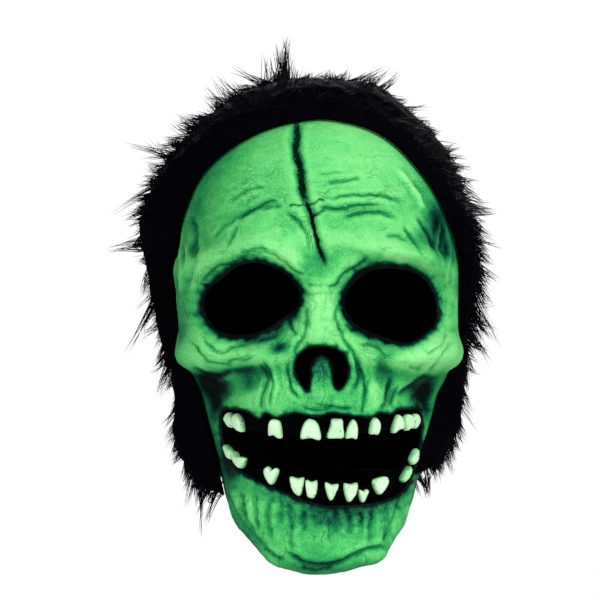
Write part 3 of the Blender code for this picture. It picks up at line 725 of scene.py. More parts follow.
class Graph:
    """A node tree, of a material or of Geometry Nodes."""

    def __init__(self, tree: Any) -> None:
        """Starts on a node tree."""
        self.tree = tree

    def pick(self, sockets: Any, key: int | str) -> Any:
        """Finds a socket.

        Args:
            sockets: A node's inputs or outputs.
            key: The socket's number, or its name among those in use.

        Returns:
            The socket.
        """
        if isinstance(key, int):
            return sockets[key]
        return next(socket for socket in sockets if socket.name == key and socket.enabled)

    def add(
        self, kind: str, settings: dict[str, Any], inputs: dict[int | str, Any], out: int | str = 0
    ) -> Term:
        """Adds a node.

        Args:
            kind: The node's type.
            settings: Its settings, or a ramp's stops.
            inputs: A value or a link for each socket.
            out: The output wanted.

        Returns:
            That output.
        """
        node = self.tree.nodes.new(kind)
        for name, value in settings.items():
            if name == "stops":
                self.set_stops(node.color_ramp, value)
            else:
                setattr(node, name, value)
        for key, value in inputs.items():
            socket = self.pick(node.inputs, key)
            if isinstance(value, Term):
                self.tree.links.new(value.socket, socket)
            else:
                socket.default_value = value
        if isinstance(out, int):
            out = [socket.name for socket in node.outputs if socket.enabled][out]
        return Term(self, self.pick(node.outputs, out))

    def set_stops(self, ramp: Any, stops: Stops) -> None:
        """Sets a colour ramp's stops.

        Args:
            ramp: The ramp.
            stops: The place and the colour of each stop.
        """
        while len(ramp.elements) > len(stops):
            ramp.elements.remove(ramp.elements[-1])
        while len(ramp.elements) < len(stops):
            ramp.elements.new(1.0)
        for element, (place, colour) in zip(ramp.elements, stops):
            element.position = place
            element.color = (*colour, 1)

    def noise(self, where: Term, size: float, detail: float = 3.0, rough: float = 0.55) -> Term:
        """Soft random values in patches of about this size in metres, with finer layers added."""
        inputs = {"Vector": where, "Scale": 1 / size, "Detail": detail, "Roughness": rough}
        return self.add("ShaderNodeTexNoise", {}, inputs)


class Surface:
    """A material under way: its shader, its Object coordinates and its node graph."""

    def __init__(self, name: str, roughness: float, gloss: float = 0.5) -> None:
        """Starts a material.

        Args:
            name: The finish's name.
            roughness: How dull it is, where that is the same all over.
            gloss: How strong its highlights are.
        """
        self.material = bpy.data.materials.new(name)
        self.material.use_nodes = True
        self.graph = Graph(self.material.node_tree)
        self.shader = self.material.node_tree.nodes["Principled BSDF"]
        self.shader.inputs["Roughness"].default_value = roughness
        self.shader.inputs["Specular IOR Level"].default_value = gloss
        self.where = self.graph.add("ShaderNodeTexCoord", {}, {}, "Object")

    def feed(self, socket: str, value: Operand) -> None:
        """Sets or links one socket of the shader.

        Args:
            socket: The socket's name.
            value: A number or colour to set, or the term to link.
        """
        if isinstance(value, Term):
            self.material.node_tree.links.new(value.socket, self.shader.inputs[socket])
        else:
            self.shader.inputs[socket].default_value = value

    def attribute(self, name: str) -> Term:
        """A number that the mesh carries."""
        return self.graph.add("ShaderNodeAttribute", {"attribute_name": name}, {}, "Fac")

    def paint(self, stops: Stops, value: Term) -> None:
        """Colours the surface by a ramp over a value."""
        self.feed("Base Color", self.graph.add("ShaderNodeValToRGB", {"stops": stops}, {"Fac": value}))

    def bump(self, height: Term, strength: float, distance: float) -> None:
        """Gives the surface a fine relief of this strength, whose height is counted in distances."""
        inputs = {"Strength": strength, "Distance": distance, "Height": height}
        self.feed("Normal", self.graph.add("ShaderNodeBump", {}, inputs))


@dataclass(frozen=True)
class SkinFinish:
    """Green latex, lighter on its high places and nearly black in its hollows: partly its own brushed paint
    and wash, partly painted highlight and painted shade.
    """

    name: str = "green_latex"
    roughness: float = 0.6
    gloss: float = 0.05
    mottle_size: float = 0.016
    speckle_size: float = 0.0011
    pore_size: float = 0.0007
    lump_size: float = 0.0035
    wave_size: float = 0.008
    fade_size: float = 0.014
    waver_size: float = 0.002
    wrinkle_sharpness: float = 20.0
    stops: Stops = (
        (0.00, (0.320, 0.920, 0.320)),
        (0.20, (0.165, 0.760, 0.215)),
        (0.38, (0.056, 0.500, 0.125)),
        (0.56, (0.014, 0.270, 0.085)),
        (0.72, (0.004, 0.110, 0.050)),
        (0.86, (0.001, 0.028, 0.018)),
        (1.00, (0.0006, 0.003, 0.003)),
    )

    def wrinkles(self, surface: Surface) -> Term:
        """Adds fine wrinkles: level on the forehead, round the eyes, and upright on the muzzle and the chin.

        Args:
            surface: The material under way.

        Returns:
            How strong they are at each place.
        """
        graph, where = surface.graph, surface.where
        parts = graph.add("ShaderNodeSeparateXYZ", {}, {"Vector": where}, "X")
        x, y, z = parts, parts.other("Y"), parts.other("Z")
        across, along = surface.attribute("round_across"), surface.attribute("round_along")
        wave = graph.noise(where, self.wave_size, 2.0) - 0.5
        # Each course is squeezed across its wrinkles and drawn out along them
        courses = {
            "level": (x * 46.0, y * 46.0, z * 170.0 + wave * 2.6),
            "upright": (x * 175.0 + wave * 2.2, y * 80.0, z * 42.0),
            "round": (across * 230.0 + wave * 1.6, along * 42.0, x * 0.0),
        }
        fade = ((graph.noise(where, self.fade_size, 2.0) - 0.45) * 6.0).clamped()
        total: Operand = 0.0
        for name, (a, b, c) in courses.items():
            vector = graph.add("ShaderNodeCombineXYZ", {}, {"X": a, "Y": b, "Z": c})
            value = graph.noise(vector, 1.0, 1.5, 0.5)
            size = graph.add("ShaderNodeMath", {"operation": "ABSOLUTE"}, {0: value - 0.5})
            total = (1 - size * self.wrinkle_sharpness).clamped() * surface.attribute(name) + total
        return total * fade

    def make(self) -> Material:
        """Builds the material.

        Returns:
            The material.
        """
        surface = Surface(self.name, self.roughness, self.gloss)
        graph, where = surface.graph, surface.where
        patches = graph.noise(where, self.mottle_size, 4.0) - 0.5
        speckle = graph.noise(where, self.speckle_size, 2.0, 0.7) - 0.5
        wrinkles = self.wrinkles(surface)
        beside = surface.attribute("line") + (graph.noise(where, self.waver_size, 2.0) - 0.5) * 1.2
        pressed = (1 - beside * beside * 2.0).clamped() * surface.attribute("ink")
        shade = surface.attribute("shade")
        # The wash mixes the paint's own tones with painted shade in hollows and creases and painted
        # highlights on high places
        wash_and_shade = shade + patches * 0.24 + speckle * 0.42 + wrinkles * 0.05 + pressed * 0.17
        surface.paint(self.stops, wash_and_shade)
        surface.feed("Roughness", (0.62 - shade * 0.12 + speckle * 0.20).clamped())
        pores = graph.noise(where, self.pore_size, 2.0)
        lumps = graph.noise(where, self.lump_size, 3.0, 0.6)
        surface.bump(pores * 0.25 + lumps * 0.60 - wrinkles * 1.2 - pressed * 2.6, 0.85, 0.0010)
        return surface.material


@dataclass(frozen=True)
class LiningFinish:
    """Near-black latex, as the gums have; inside the mask the same near black is painted shade for the dark
    hollow.
    """

    name: str
    colour: Triple
    roughness: float
    gloss: float
    grain_size: float = 0.0022

    def make(self) -> Material:
        """Builds the material.

        Returns:
            The material.
        """
        surface = Surface(self.name, self.roughness, self.gloss)
        grain = surface.graph.noise(surface.where, self.grain_size, 3.0)
        tones = ((0.3, tuple(c * 0.5 for c in self.colour)), (0.75, self.colour))
        surface.paint(tones, grain)
        surface.bump(grain, 0.5, 0.0006)
        return surface.material


@dataclass(frozen=True)
class ToothFinish:
    """Pale green paint with dark specks, darker towards its edges and where it meets its gum, partly its
    paint and partly painted shade.
    """

    name: str = "tooth_paint"
    roughness: float = 0.38
    tone_size: float = 0.005
    speck_size: float = 0.0024
    stops: Stops = (
        (0.00, (0.78, 1.00, 0.76)),
        (0.40, (0.50, 0.98, 0.48)),
        (0.72, (0.12, 0.50, 0.18)),
        (1.00, (0.01, 0.06, 0.03)),
    )

    def make(self) -> Material:
        """Builds the material.

        Returns:
            The material.
        """
        surface = Surface(self.name, self.roughness)
        graph, where = surface.graph, surface.where
        soft = graph.noise(where, self.tone_size, 2.0)
        specks = graph.noise(where, self.speck_size, 3.0, 0.65)
        edge = surface.attribute("edge")
        # The edge value adds painted shade on the tooth's back and sides and on teeth that lie in shade
        wash_and_shade = (soft - 0.5) * 0.6 + edge * 0.50 + 0.08 + ((specks - 0.60) * 9.0).clamped() * 0.85
        surface.paint(self.stops, wash_and_shade)
        surface.bump(soft + specks * 0.4, 0.4, 0.0006)
        return surface.material


@dataclass(frozen=True)
class FurFinish:
    """Black fur, tinted cool and a little lighter towards its tips as a painted sheen."""

    name: str = "black_fur"
    roughness: float = 0.5
    gloss: float = 0.05
    tone_size: float = 0.02
    stops: Stops = (
        (0.0, (0.0004, 0.0004, 0.0014)),
        (0.7, (0.0008, 0.0008, 0.0036)),
        (1.0, (0.0018, 0.0018, 0.0085)),
    )

    def make(self) -> Material:
        """Builds the material.

        Returns:
            The material.
        """
        surface = Surface(self.name, self.roughness, self.gloss)
        # Painted sheen: the colour grows lighter and bluer towards the tips
        blend = surface.attribute("tip") * 0.7 + surface.graph.noise(surface.where, self.tone_size, 2.0) * 0.3
        surface.paint(self.stops, blend)
        return surface.material


class Layer(Enum):
    """The two sides of the latex wall, as material slots."""

    OUTSIDE = 0
    INSIDE = 1


def make_object(name: str, points: Sequence, faces: Sequence, *materials: Material) -> Object:
    """Makes a smooth mesh object at the origin.

    Args:
        name: The object's name.
        points: Its points.
        faces: Its faces.
        *materials: Its material slots.

    Returns:
        The object.
    """
    mesh = bpy.data.meshes.new(name)
    mesh.from_pydata([tuple(point) for point in points], [], [tuple(face) for face in faces])
    for material in materials:
        mesh.materials.append(material)
    mesh.shade_smooth()
    made = bpy.data.objects.new(name, mesh)
    bpy.context.scene.collection.objects.link(made)
    return made


def store(mesh: Mesh, name: str, values: Array, kind: str = "FLOAT") -> None:
    """Stores one number, or one vector where the kind says so, for each point of a mesh."""
    layer = mesh.attributes.new(name, kind, "POINT")
    layer.data.foreach_set("value" if kind == "FLOAT" else "vector", np.asarray(values, np.float32).ravel())


def points_of(mesh: Mesh) -> Array:
    """Reads the points of a mesh.

    Args:
        mesh: The mesh.

    Returns:
        The points, one row each.
    """
    flat = np.empty(len(mesh.vertices) * 3, np.float32)
    mesh.vertices.foreach_get("co", flat)
    return flat.reshape(-1, 3).astype(float)


def finish_piece(made: Object, replaced: Sequence[str], sharp: float) -> None:
    """Gives a finished piece its place in the model.

    Args:
        made: The piece.
        replaced: The CAD nodes that it stands for.
        sharp: The angle in degrees past which an edge stays sharp.
    """
    if sharp < 180:
        made.data.set_sharp_from_angle(angle=math.radians(sharp))
    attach(made, "root")
    if replaced:
        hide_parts(*replaced)
    LOG.info("%s: %d faces", made.name, len(made.data.polygons))


def turn_outwards(mesh: Mesh, merge: float = 0.0) -> None:
    """Turns a closed mesh's faces outwards.

    Args:
        mesh: The mesh.
        merge: How close points are that are merged first, or 0 to merge none.
    """
    builder = bmesh.new()
    builder.from_mesh(mesh)
    if merge:
        bmesh.ops.remove_doubles(builder, verts=builder.verts, dist=merge)
    bmesh.ops.recalc_face_normals(builder, faces=builder.faces)
    builder.to_mesh(mesh)
    builder.free()


@dataclass(frozen=True)
class Shading:
    """How dark the skin is coloured over the relief, from 0 bright to 1 black, by its paint and by painted
    shade.

    Fine and broad hollows, found by a blur over so many cells, darken by so much a millimetre within a range,
    and high places lighten: partly the mask's own wash and brushing, partly painted shade and painted
    highlight. The -X side, places turned sideways and the skin by the fur's edge are darker as painted shade.
    """

    plain: float = 0.20
    fine: float = 0.17
    fine_cells: float = 3.2
    fine_range: tuple[float, float] = (-0.07, 0.10)
    broad: float = 0.060
    broad_cells: float = 11
    broad_range: tuple[float, float] = (-0.06, 0.20)
    left: float = 0.05
    turned: float = 0.14
    turned_left: float = 0.08
    under_fur: float = 0.05
    chin: float = 0.36
    chin_top: float = 0.245
    chin_blend: float = 0.02
    chin_reach: float = 0.0110


@dataclass
class FaceSkin:
    """The moulded latex head: a finely creased outer skin, a plain inner skin and the turned hem between."""

    form: HeadForm
    finish: SkinFinish
    lining: LiningFinish
    shading: Shading = Shading()
    spacing: float = 1.08 * MM
    turned_share: float = 0.40
    widest_ring: float = 7.0
    face_end: float = math.radians(84)
    first_shown: float = 1.9
    back_columns: int = 26
    hidden_rows: int = 12
    inner_rows: int = 96
    lip_radius: float = 1.7 * MM
    edge_margin: float = 0.030
    waver: float = 0.8 * MM
    waver_size: float = 0.006
    halo: float = 0.16
    fold_swell: float = 0.40
    fold_width: float = 1.3
    pleat_width: float = 1.5
    pleat_depth: float = 0.9
    pleat_wash_and_shade: float = 0.08
    pleat_bend: float = 1.6
    wrinkle_depth: float = 0.8 * MM
    shallow: float = 1.0 * MM
    deepest: float = 1.7 * MM
    cut_front: float = -0.17
    cut_back: float = -0.03

    def front_columns(self) -> Array:
        """Spaces the columns evenly across the face, as seen from a little to one side, and wider behind it.

        Returns:
            Their angles, from 0 at the nose.
        """
        angle = np.linspace(0, self.face_end, 2000)
        ring = self.form.base_point(angle, np.full_like(angle, self.widest_ring))
        step = np.abs(np.diff(ring[:, 0])) + self.turned_share * np.abs(np.diff(ring[:, 1]))
        run = np.concatenate([[0], np.cumsum(step)])
        count = int(run[-1] / self.spacing)
        half = np.interp(np.linspace(0, run[-1], count + 1), run, angle)
        back = np.linspace(half[-1], 2 * math.pi - half[-1], self.back_columns + 1)[1:-1]
        return np.concatenate([half, back, 2 * math.pi - half[:0:-1]])

    def front_rows(self) -> Array:
        """Spaces the rows evenly down the face, and wider under the fur of the crown.

        Returns:
            Their places, counted in rings from the crown.
        """
        place = np.linspace(self.first_shown, len(RINGS) - 1, 3000)
        ring = self.form.base_point(np.zeros_like(place), place)
        step = np.abs(np.diff(ring[:, 2])) + self.turned_share * np.abs(np.diff(ring[:, 1]))
        run = np.concatenate([[0], np.cumsum(step)])
        shown = np.interp(np.linspace(0, run[-1], int(run[-1] / self.spacing) + 1), run, place)
        return np.concatenate([np.linspace(0, self.first_shown, self.hidden_rows + 1)[1:-1], shown])

    def outline(self, opening: Opening) -> Array:
        """The cut edge of an opening, in metres across and up."""
        line = smooth_path(opening.points, closed=True, steps=5) * MM
        return np.stack([line[:, 0], -line[:, 1]], axis=1)

    def creases(self) -> list[Crease]:
        """Adds the slightly bent pleats of the chin to the creases.

        Returns:
            All of them.
        """
        lines = list(CREASES)
        for number, (across, top, bottom) in enumerate(CHIN_PLEATS):
            bend = self.pleat_bend * math.sin(number * 2.3)
            points = ((across, top), (across + bend, (top + bottom) / 2), (across - 0.05 * across, bottom))
            sizes = self.pleat_width, self.pleat_depth, self.pleat_wash_and_shade
            lines.append(Crease(f"pleat_{number}", *sizes, points))
        return lines

    def press(self, x: Array, z: Array) -> dict[str, Array]:
        """Works out the fine relief of the face, its paint and its painted shade and highlights.

        Args:
            x: How far across each place is.
            z: How high each place is.

        Returns:
            The height of each place, the dark wash and painted shade or highlight on it, how many widths it
            lies beside its nearest crease, and how dark that crease's line is by its paint and painted shade.
        """
        height, wash_and_shade = np.zeros_like(x), np.zeros_like(x)
        line, ink = np.full_like(x, FAR_WIDTHS), np.zeros_like(x)
        places = np.stack([x, np.zeros_like(x), z], axis=1)
        x = x + self.waver * mottle(places, self.waver_size, 2)
        z = z + self.waver * mottle(places + 3.0, self.waver_size, 2)
        for crease in self.creases():
            path = smooth_path([(a * MM, -d * MM) for a, d in crease.points])
            width = crease.width * MM
            near = near_line(x, z, path, 6 * width)
            if not len(near):
                continue
            gap, along, side = line_distance(x[near], z[near], path)
            fade = smooth_step(np.minimum(along, 1 - along) * 5 + 0.08)
            beside = gap / width
            nearer = (beside < FAR_WIDTHS) & (beside < np.abs(line[near]))
            line[near[nearer]] = (beside * side)[nearer]
            # The crease's dark line: partly its paint, partly painted shade in the groove
            ink[near[nearer]] = (crease.wash_and_shade * fade * np.clip((2.2 - beside) / 0.9, 0, 1))[nearer]
            broad = width * self.fold_width
            groove = np.exp(-((gap / broad) ** 2))
            groove -= self.fold_swell * np.exp(-(((gap - 2.1 * broad) / (1.2 * broad)) ** 2))
            height[near] -= crease.depth * MM * fade * groove
            # Painted shade: a soft dark band beside each crease
            wash_and_shade[near] += self.halo * min(crease.wash_and_shade, 0.7) * fade * np.exp(-((gap / (2.4 * width)) ** 2))
        for spot in SPOTS:
            lean = math.radians(spot.tilt)
            off_x, off_z = x / MM - spot.across, z / MM + spot.down
            turned = (off_x * math.cos(lean) + off_z * math.sin(lean)) / spot.wide
            raised = (off_z * math.cos(lean) - off_x * math.sin(lean)) / spot.high
            share = np.exp(-(turned**2) - raised**2)
            height -= spot.depth * MM * share
            # Spots darken the skin as paint and painted shade, or lighten it as painted highlights
            wash_and_shade += spot.wash_and_shade * share
        return {"height": height, "wash_and_shade": wash_and_shade, "line": line, "ink": ink}

    def kept_in_wall(self, height: Array) -> Array:
        """Eases the deepest relief so that it never passes through the wall.

        Args:
            height: How far each place stands out, or in where it is below 0.

        Returns:
            The eased heights.
        """
        room = self.deepest - self.shallow
        sunk = np.maximum(-height - self.shallow, 0)
        return height + sunk - room * np.tanh(sunk / room)

    def edge_distance(self, x: Array, z: Array, line: Array) -> Array:
        """Measures how far places lie outside an opening.

        Args:
            x: How far across each place is.
            z: How high each place is.
            line: The opening's outline.

        Returns:
            The distance of each place, below 0 inside, and a large one where a place is far away.
        """
        gap = np.full_like(x, self.edge_margin)
        near = near_line(x, z, line, self.edge_margin)
        ring = np.concatenate([line, line[:1]])
        distance, _, _ = line_distance(x[near], z[near], ring)
        a, b, level = ring[:-1], ring[1:], z[near][:, None]
        rise = np.where(b[:, 1] == a[:, 1], 1, b[:, 1] - a[:, 1])
        crossed = (a[:, 1] > level) != (b[:, 1] > level)
        crossing = a[:, 0] + (level - a[:, 1]) * (b[:, 0] - a[:, 0]) / rise
        inside = (crossed & (x[near][:, None] < crossing)).sum(axis=1) % 2 == 1
        gap[near] = np.where(inside, -distance, distance)
        return gap

    def blurred(self, grid: Array, reach: float) -> Array:
        """Softens a grid of values.

        Args:
            grid: The values, in rows down the head and columns round it.
            reach: Over how many cells.

        Returns:
            The softened grid.
        """
        size = int(3 * reach)
        weights = np.exp(-((np.arange(-size, size + 1) / reach) ** 2))
        weights /= weights.sum()
        padded = np.pad(grid, ((size, size), (0, 0)), mode="edge")
        grid = sum(w * padded[i : i + grid.shape[0]] for i, w in enumerate(weights))
        padded = np.pad(grid, ((0, 0), (size, size)), mode="wrap")
        return sum(w * padded[:, i : i + grid.shape[1]] for i, w in enumerate(weights))

    def hole_paint(self, x: Array, z: Array) -> tuple[Array, Array]:
        """Works out how the skin rounds into its openings and how dark it is round them.

        Args:
            x: How far across each place is.
            z: How high each place is.

        Returns:
            How deep each place is sunk, and how much dark wash lies on it.
        """
        sunk, wash_and_shade = np.zeros_like(x), np.zeros_like(x)
        places = np.stack([x, np.zeros_like(x), z], axis=1)
        ragged = 1.0 + 0.55 * mottle(places, 0.005, 2)
        paint = self.shading
        for opening in OPENINGS:
            gap = self.edge_distance(x, z, self.outline(opening))
            outside = np.clip(gap, 0, None)
            inward = np.clip(self.lip_radius - outside, 0, self.lip_radius)
            sunk += self.lip_radius - np.sqrt(self.lip_radius**2 - inward**2)
            outside = outside * ragged
            close = opening.close * np.exp(-((outside / opening.close_reach) ** 2))
            wash_and_shade += close + opening.wide * np.exp(-((outside / opening.wide_reach) ** 2))
            if opening.name == "mouth":
                below = smooth_step((-z - paint.chin_top) / paint.chin_blend) * (gap < self.edge_margin)
                wash_and_shade += paint.chin * below * np.exp(-((outside / paint.chin_reach) ** 2))
        return sunk, wash_and_shade

    def flow(self, x: Array, z: Array) -> dict[str, Array]:
        """Works out which way the fine wrinkles run.

        Args:
            x: How far across each place is.
            z: How high each place is.

        Returns:
            How much they run level, upright and round the eyes, and the coordinates that follow the eyes.
        """
        gap = self.form.socket_distance(x, z)
        turn = np.arctan2(z - (self.form.wall - self.form.eye_drop), np.abs(x) - self.form.eye_spacing / 2)
        hand = np.sign(x)

        def band(across: float, down: float, wide: float, high: float) -> Array:
            """A patch of the face with soft edges, in millimetres."""
            return np.exp(-(((x / MM - across) / wide) ** 4) - ((z / MM + down) / high) ** 4)

        upright = band(0, 190, 52, 20) + band(0, 150, 17, 26) + smooth_step((-z - 0.256) / 0.008)
        upright += band(-70, 235, 12, 42) + band(72, 230, 10, 42)
        ringed = np.exp(-(((gap - 0.009) / 0.0085) ** 2)) * (gap > 0)
        return {
            "level": band(0, 62, 76, 44) * (0.35 + 0.65 * np.exp(-(((z / MM + 70) / 22) ** 2))),
            "upright": np.clip(upright, 0, 1),
            "round": ringed * smooth_step((np.abs(x) - 0.010) / 0.008),
            "round_across": gap,
            "round_along": turn * 0.040 + hand * 0.5,
        }

    def outer_skin(self, angle: Array, place: Array) -> tuple[Array, dict[str, Array]]:
        """Shapes and paints the outer skin.

        Args:
            angle: Grid of angles round the head.
            place: Grid of places down the head.

        Returns:
            The grid of points, and what the finish reads at each, such as its shade from 0 bright to 1 black.
        """
        form, paint = self.form, self.shading
        base, normal = form.base_point(angle, place), form.base_normal(angle, place)
        bare = form.bare_share(angle, place)
        broad = bare * form.relief(base[..., 0], base[..., 2])
        seen = (base + normal * broad[..., None]).reshape(-1, 3)
        front = (np.cos(angle) > -0.1).ravel()
        x, z = seen[front, 0], seen[front, 2]
        pressed, (sunk, dark) = self.press(x, z), self.hole_paint(x, z)
        wrinkle = 0.42 * mottle(seen[front], 0.012, 3, (0.8, 0.8, 1.7))
        wrinkle += 0.25 * mottle(seen[front] + 1.0, 0.0042, 2)
        height, wash_and_shade = np.zeros(front.size), np.zeros(front.size)
        height[front] = self.kept_in_wall(pressed["height"] + wrinkle * self.wrinkle_depth) - sunk
        wash_and_shade[front] = pressed["wash_and_shade"] + dark
        total = broad + height.reshape(angle.shape) * bare
        # Hollows darken and high places lighten: partly the mask's own wash and brushing, partly painted
        # shade and highlight
        hollow = (self.blurred(total, paint.fine_cells) - total) / MM
        broad_hollow = (self.blurred(total, paint.broad_cells) - total) / MM
        shade = paint.plain + wash_and_shade.reshape(angle.shape) + np.clip(hollow * paint.fine, *paint.fine_range)
        shade += np.clip(broad_hollow * paint.broad, *paint.broad_range)
        # Painted shade: the -X side is coloured darker, as the less lit side
        left = smooth_step(0.6 - base[..., 0] / form.half_breadth)
        shade += paint.left * left
        # Painted shade: places turned sideways, more on the -X side, and the skin by the fur's edge are
        # coloured darker
        turned = (paint.turned + paint.turned_left * left) * smooth_step((0.64 + normal[..., 1]) / 0.50)
        shade += turned + paint.under_fur * (1 - bare)
        read = {"line": np.full(front.size, FAR_WIDTHS), "ink": np.zeros(front.size)}
        for name, values in {**self.flow(x, z), "line": pressed["line"], "ink": pressed["ink"]}.items():
            read.setdefault(name, np.zeros(front.size))[front] = values
        return base + normal * total[..., None], {"shade": np.clip(shade, 0, 1).ravel(), **read}

    def shell(self) -> tuple[Object, Array, dict[str, Array]]:
        """Builds the closed head before its openings are cut.

        Returns:
            The object, its outer points and what its finish reads at each.
        """
        columns, rows = self.front_columns(), self.front_rows()
        angle, place = np.meshgrid(columns, rows)
        outer, read = self.outer_skin(angle, place)
        inner_places = np.interp(np.linspace(0, 1, self.inner_rows + 1)[1:], [0, 1], [0, rows[-1]])
        inner_angle, inner_place = np.meshgrid(columns, inner_places)
        inner = self.form.skin_point(inner_angle, inner_place, np.full_like(inner_angle, -self.form.wall))
        count, high, low = len(columns), len(rows), len(inner_places)
        points = [*outer.reshape(-1, 3), *inner.reshape(-1, 3), (0, 0, self.form.wall), (0, 0, 0)]
        start, pole = high * count, (high + low) * count
        faces, layers = [], []
        for c in range(count):
            n = (c + 1) % count
            for r in range(high - 1):
                faces.append((r * count + c, (r + 1) * count + c, (r + 1) * count + n, r * count + n))
            faces.append((pole, c, n))
            layers += [Layer.OUTSIDE.value] * high
            for r in range(low - 1):
                a, b = start + r * count, start + (r + 1) * count
                faces.append((a + n, b + n, b + c, a + c))
            faces.append((pole + 1, start + n, start + c))
            last, end = (high - 1) * count, start + (low - 1) * count
            faces.append((last + c, end + c, end + n, last + n))
            layers += [Layer.INSIDE.value] * (low + 1)
        made = make_object("latex_face", points, faces, self.finish.make(), self.lining.make())
        made.data.polygons.foreach_set("material_index", layers)
        return made, outer.reshape(-1, 3), read

    def cutters(self) -> Object:
        """Builds the shapes that are cut out of the head.

        Returns:
            One object that holds those of all the openings.
        """
        points, faces = [], []
        for opening in OPENINGS:
            line = self.outline(opening)
            count, start = len(line), len(points)
            points += [(x, y, z) for y in (self.cut_front, self.cut_back) for x, z in line]
            faces.append(tuple(range(start, start + count)))
            faces.append(tuple(range(start + 2 * count - 1, start + count - 1, -1)))
            for i in range(count):
                n = (i + 1) % count
                faces.append((start + i, start + count + i, start + count + n, start + n))
        cutter = make_object("openings", points, faces, self.lining.make())
        turn_outwards(cutter.data)
        return cutter

    def build(self) -> None:
        """Cuts the openings out of the head and stores what its finish reads."""
        shell, outer, read = self.shell()
        cutter = self.cutters()
        modifier = shell.modifiers.new("openings", "BOOLEAN")
        modifier.operation = "DIFFERENCE"
        modifier.object = cutter
        modifier.solver = "MANIFOLD"
        evaluated = shell.evaluated_get(bpy.context.evaluated_depsgraph_get())
        mesh = bpy.data.meshes.new_from_object(evaluated)
        shell.modifiers.clear()
        shell.data = mesh
        bpy.data.objects.remove(cutter)
        tree = KDTree(len(outer))
        for number, point in enumerate(outer):
            tree.insert(point, number)
        tree.balance()
        found = [tree.find(point)[1] for point in points_of(mesh)]
        for name, values in read.items():
            store(mesh, name, values[found])
        finish_piece(shell, ["latex_head"], sharp=55)


class Tooth(NamedTuple):
    """A tooth: its place and sizes as shares, how much painted shade darkens it, and its outline from root to
    biting edge.
    """

    node: str
    across: float
    width: float
    length: float
    gap: float
    shadowed: float
    outline: Outline


# A tooth's rims from its back to its front: how wide each is and how far outwards, as shares
TOOTH_LEVELS = (
    (0.86, -0.06), (0.97, 0.05), (1.00, 0.25), (0.985, 0.55), (0.90, 0.82), (0.74, 0.96), (0.50, 1.02),
    (0.24, 1.03),
)

# A gum's section: how far from its hidden to its shown border, and how deep, as shares
GUM_FRONT = (
    (0.00, 0.35), (0.06, 0.10), (0.20, 0.00), (0.40, 0.00), (0.60, 0.00), (0.80, 0.06), (0.93, 0.22),
    (1.00, 0.50),
)
GUM_BACK = ((0.93, 0.85), (0.60, 1.00), (0.20, 1.00), (0.03, 0.80))

# How deep the mouth's edges lie at places across it, as shares of its depth and of its half width
UPPER_EDGE = (
    (-1.00, 0.02), (-0.70, 0.04), (-0.35, 0.07), (0.00, 0.05), (0.35, 0.06), (0.70, 0.03), (1.00, 0.02),
)

LOWER_EDGE = (
    (-1.00, 0.40), (-0.90, 0.60), (-0.70, 0.79), (-0.40, 0.93), (0.00, 0.99), (0.40, 0.98), (0.70, 0.88),
    (0.90, 0.67), (1.00, 0.42),
)

UPPER_TEETH = (
    Tooth("upper_tooth_01", -0.925, 0.084, 0.68, 0.05, 0.0, (
        (-1, 0.75), (-0.7, 0.2), (-0.1, 0), (0.7, 0.2), (1, 0.85), (0.1, 1),
    )),
    Tooth("upper_tooth_02", -0.820, 0.104, 0.82, 0.05, 0.0, (
        (-1, 0.16), (-0.3, 0), (0.6, 0.25), (1, 0.9), (0.35, 1), (-1, 0.78),
    )),
    Tooth("upper_tooth_03", -0.445, 0.136, 0.98, 0.05, 0.0, (
        (-1, 0.75), (-0.8, 0.2), (-0.35, 0), (0.3, 0), (0.85, 0.17), (1, 0.87), (0.74, 1), (0.2, 0.91),
        (-0.15, 0.81), (-0.9, 0.88),
    )),
    Tooth("upper_tooth_04", -0.094, 0.210, 1.08, 0.05, 0.0, (
        (-1, 0.85), (-0.8, 0.37), (-0.4, 0.06), (0.05, 0), (0.7, 0.22), (1, 0.81), (0.85, 1), (0.05, 0.9),
        (-0.82, 0.95),
    )),
    Tooth("upper_tooth_05", 0.151, 0.176, 0.98, 0.08, 0.30, (
        (-1, 0.95), (-0.6, 0.3), (-0.5, 0), (0.7, 0), (0.85, 0.4), (1, 0.95), (0, 1),
    )),
    Tooth("upper_tooth_06", 0.309, 0.124, 1.00, 0.10, 0.10, (
        (-1, 0.92), (-0.55, 0.25), (0.1, 0), (0.67, 0.12), (1, 0.54), (0.9, 1), (0, 0.93),
    )),
    Tooth("upper_tooth_07", 0.537, 0.098, 0.90, 0.04, 0.0, (
        (-1, 0.9), (-0.7, 0.22), (-0.15, 0), (0.7, 0.18), (1, 0.54), (0.66, 1), (-0.3, 0.94),
    )),
    Tooth("upper_tooth_08", 0.776, 0.112, 0.82, 0.10, 0.0, (
        (-1, 1), (-0.65, 0.45), (-0.06, 0), (0.53, 0.09), (1, 0.82), (0, 0.9),
    )),
    Tooth("upper_tooth_09", 0.898, 0.080, 0.80, 0.12, 0.0, (
        (-0.83, 0.9), (-1, 0.12), (0.17, 0), (1, 0.41), (0.83, 1), (0, 0.93),
    )),
    Tooth("upper_tooth_10", 0.984, 0.060, 0.66, 0.14, 0.0, (
        (-0.8, 1), (-1, 0.28), (-0.25, 0), (0.5, 0.17), (1, 0.83),
    )),
)

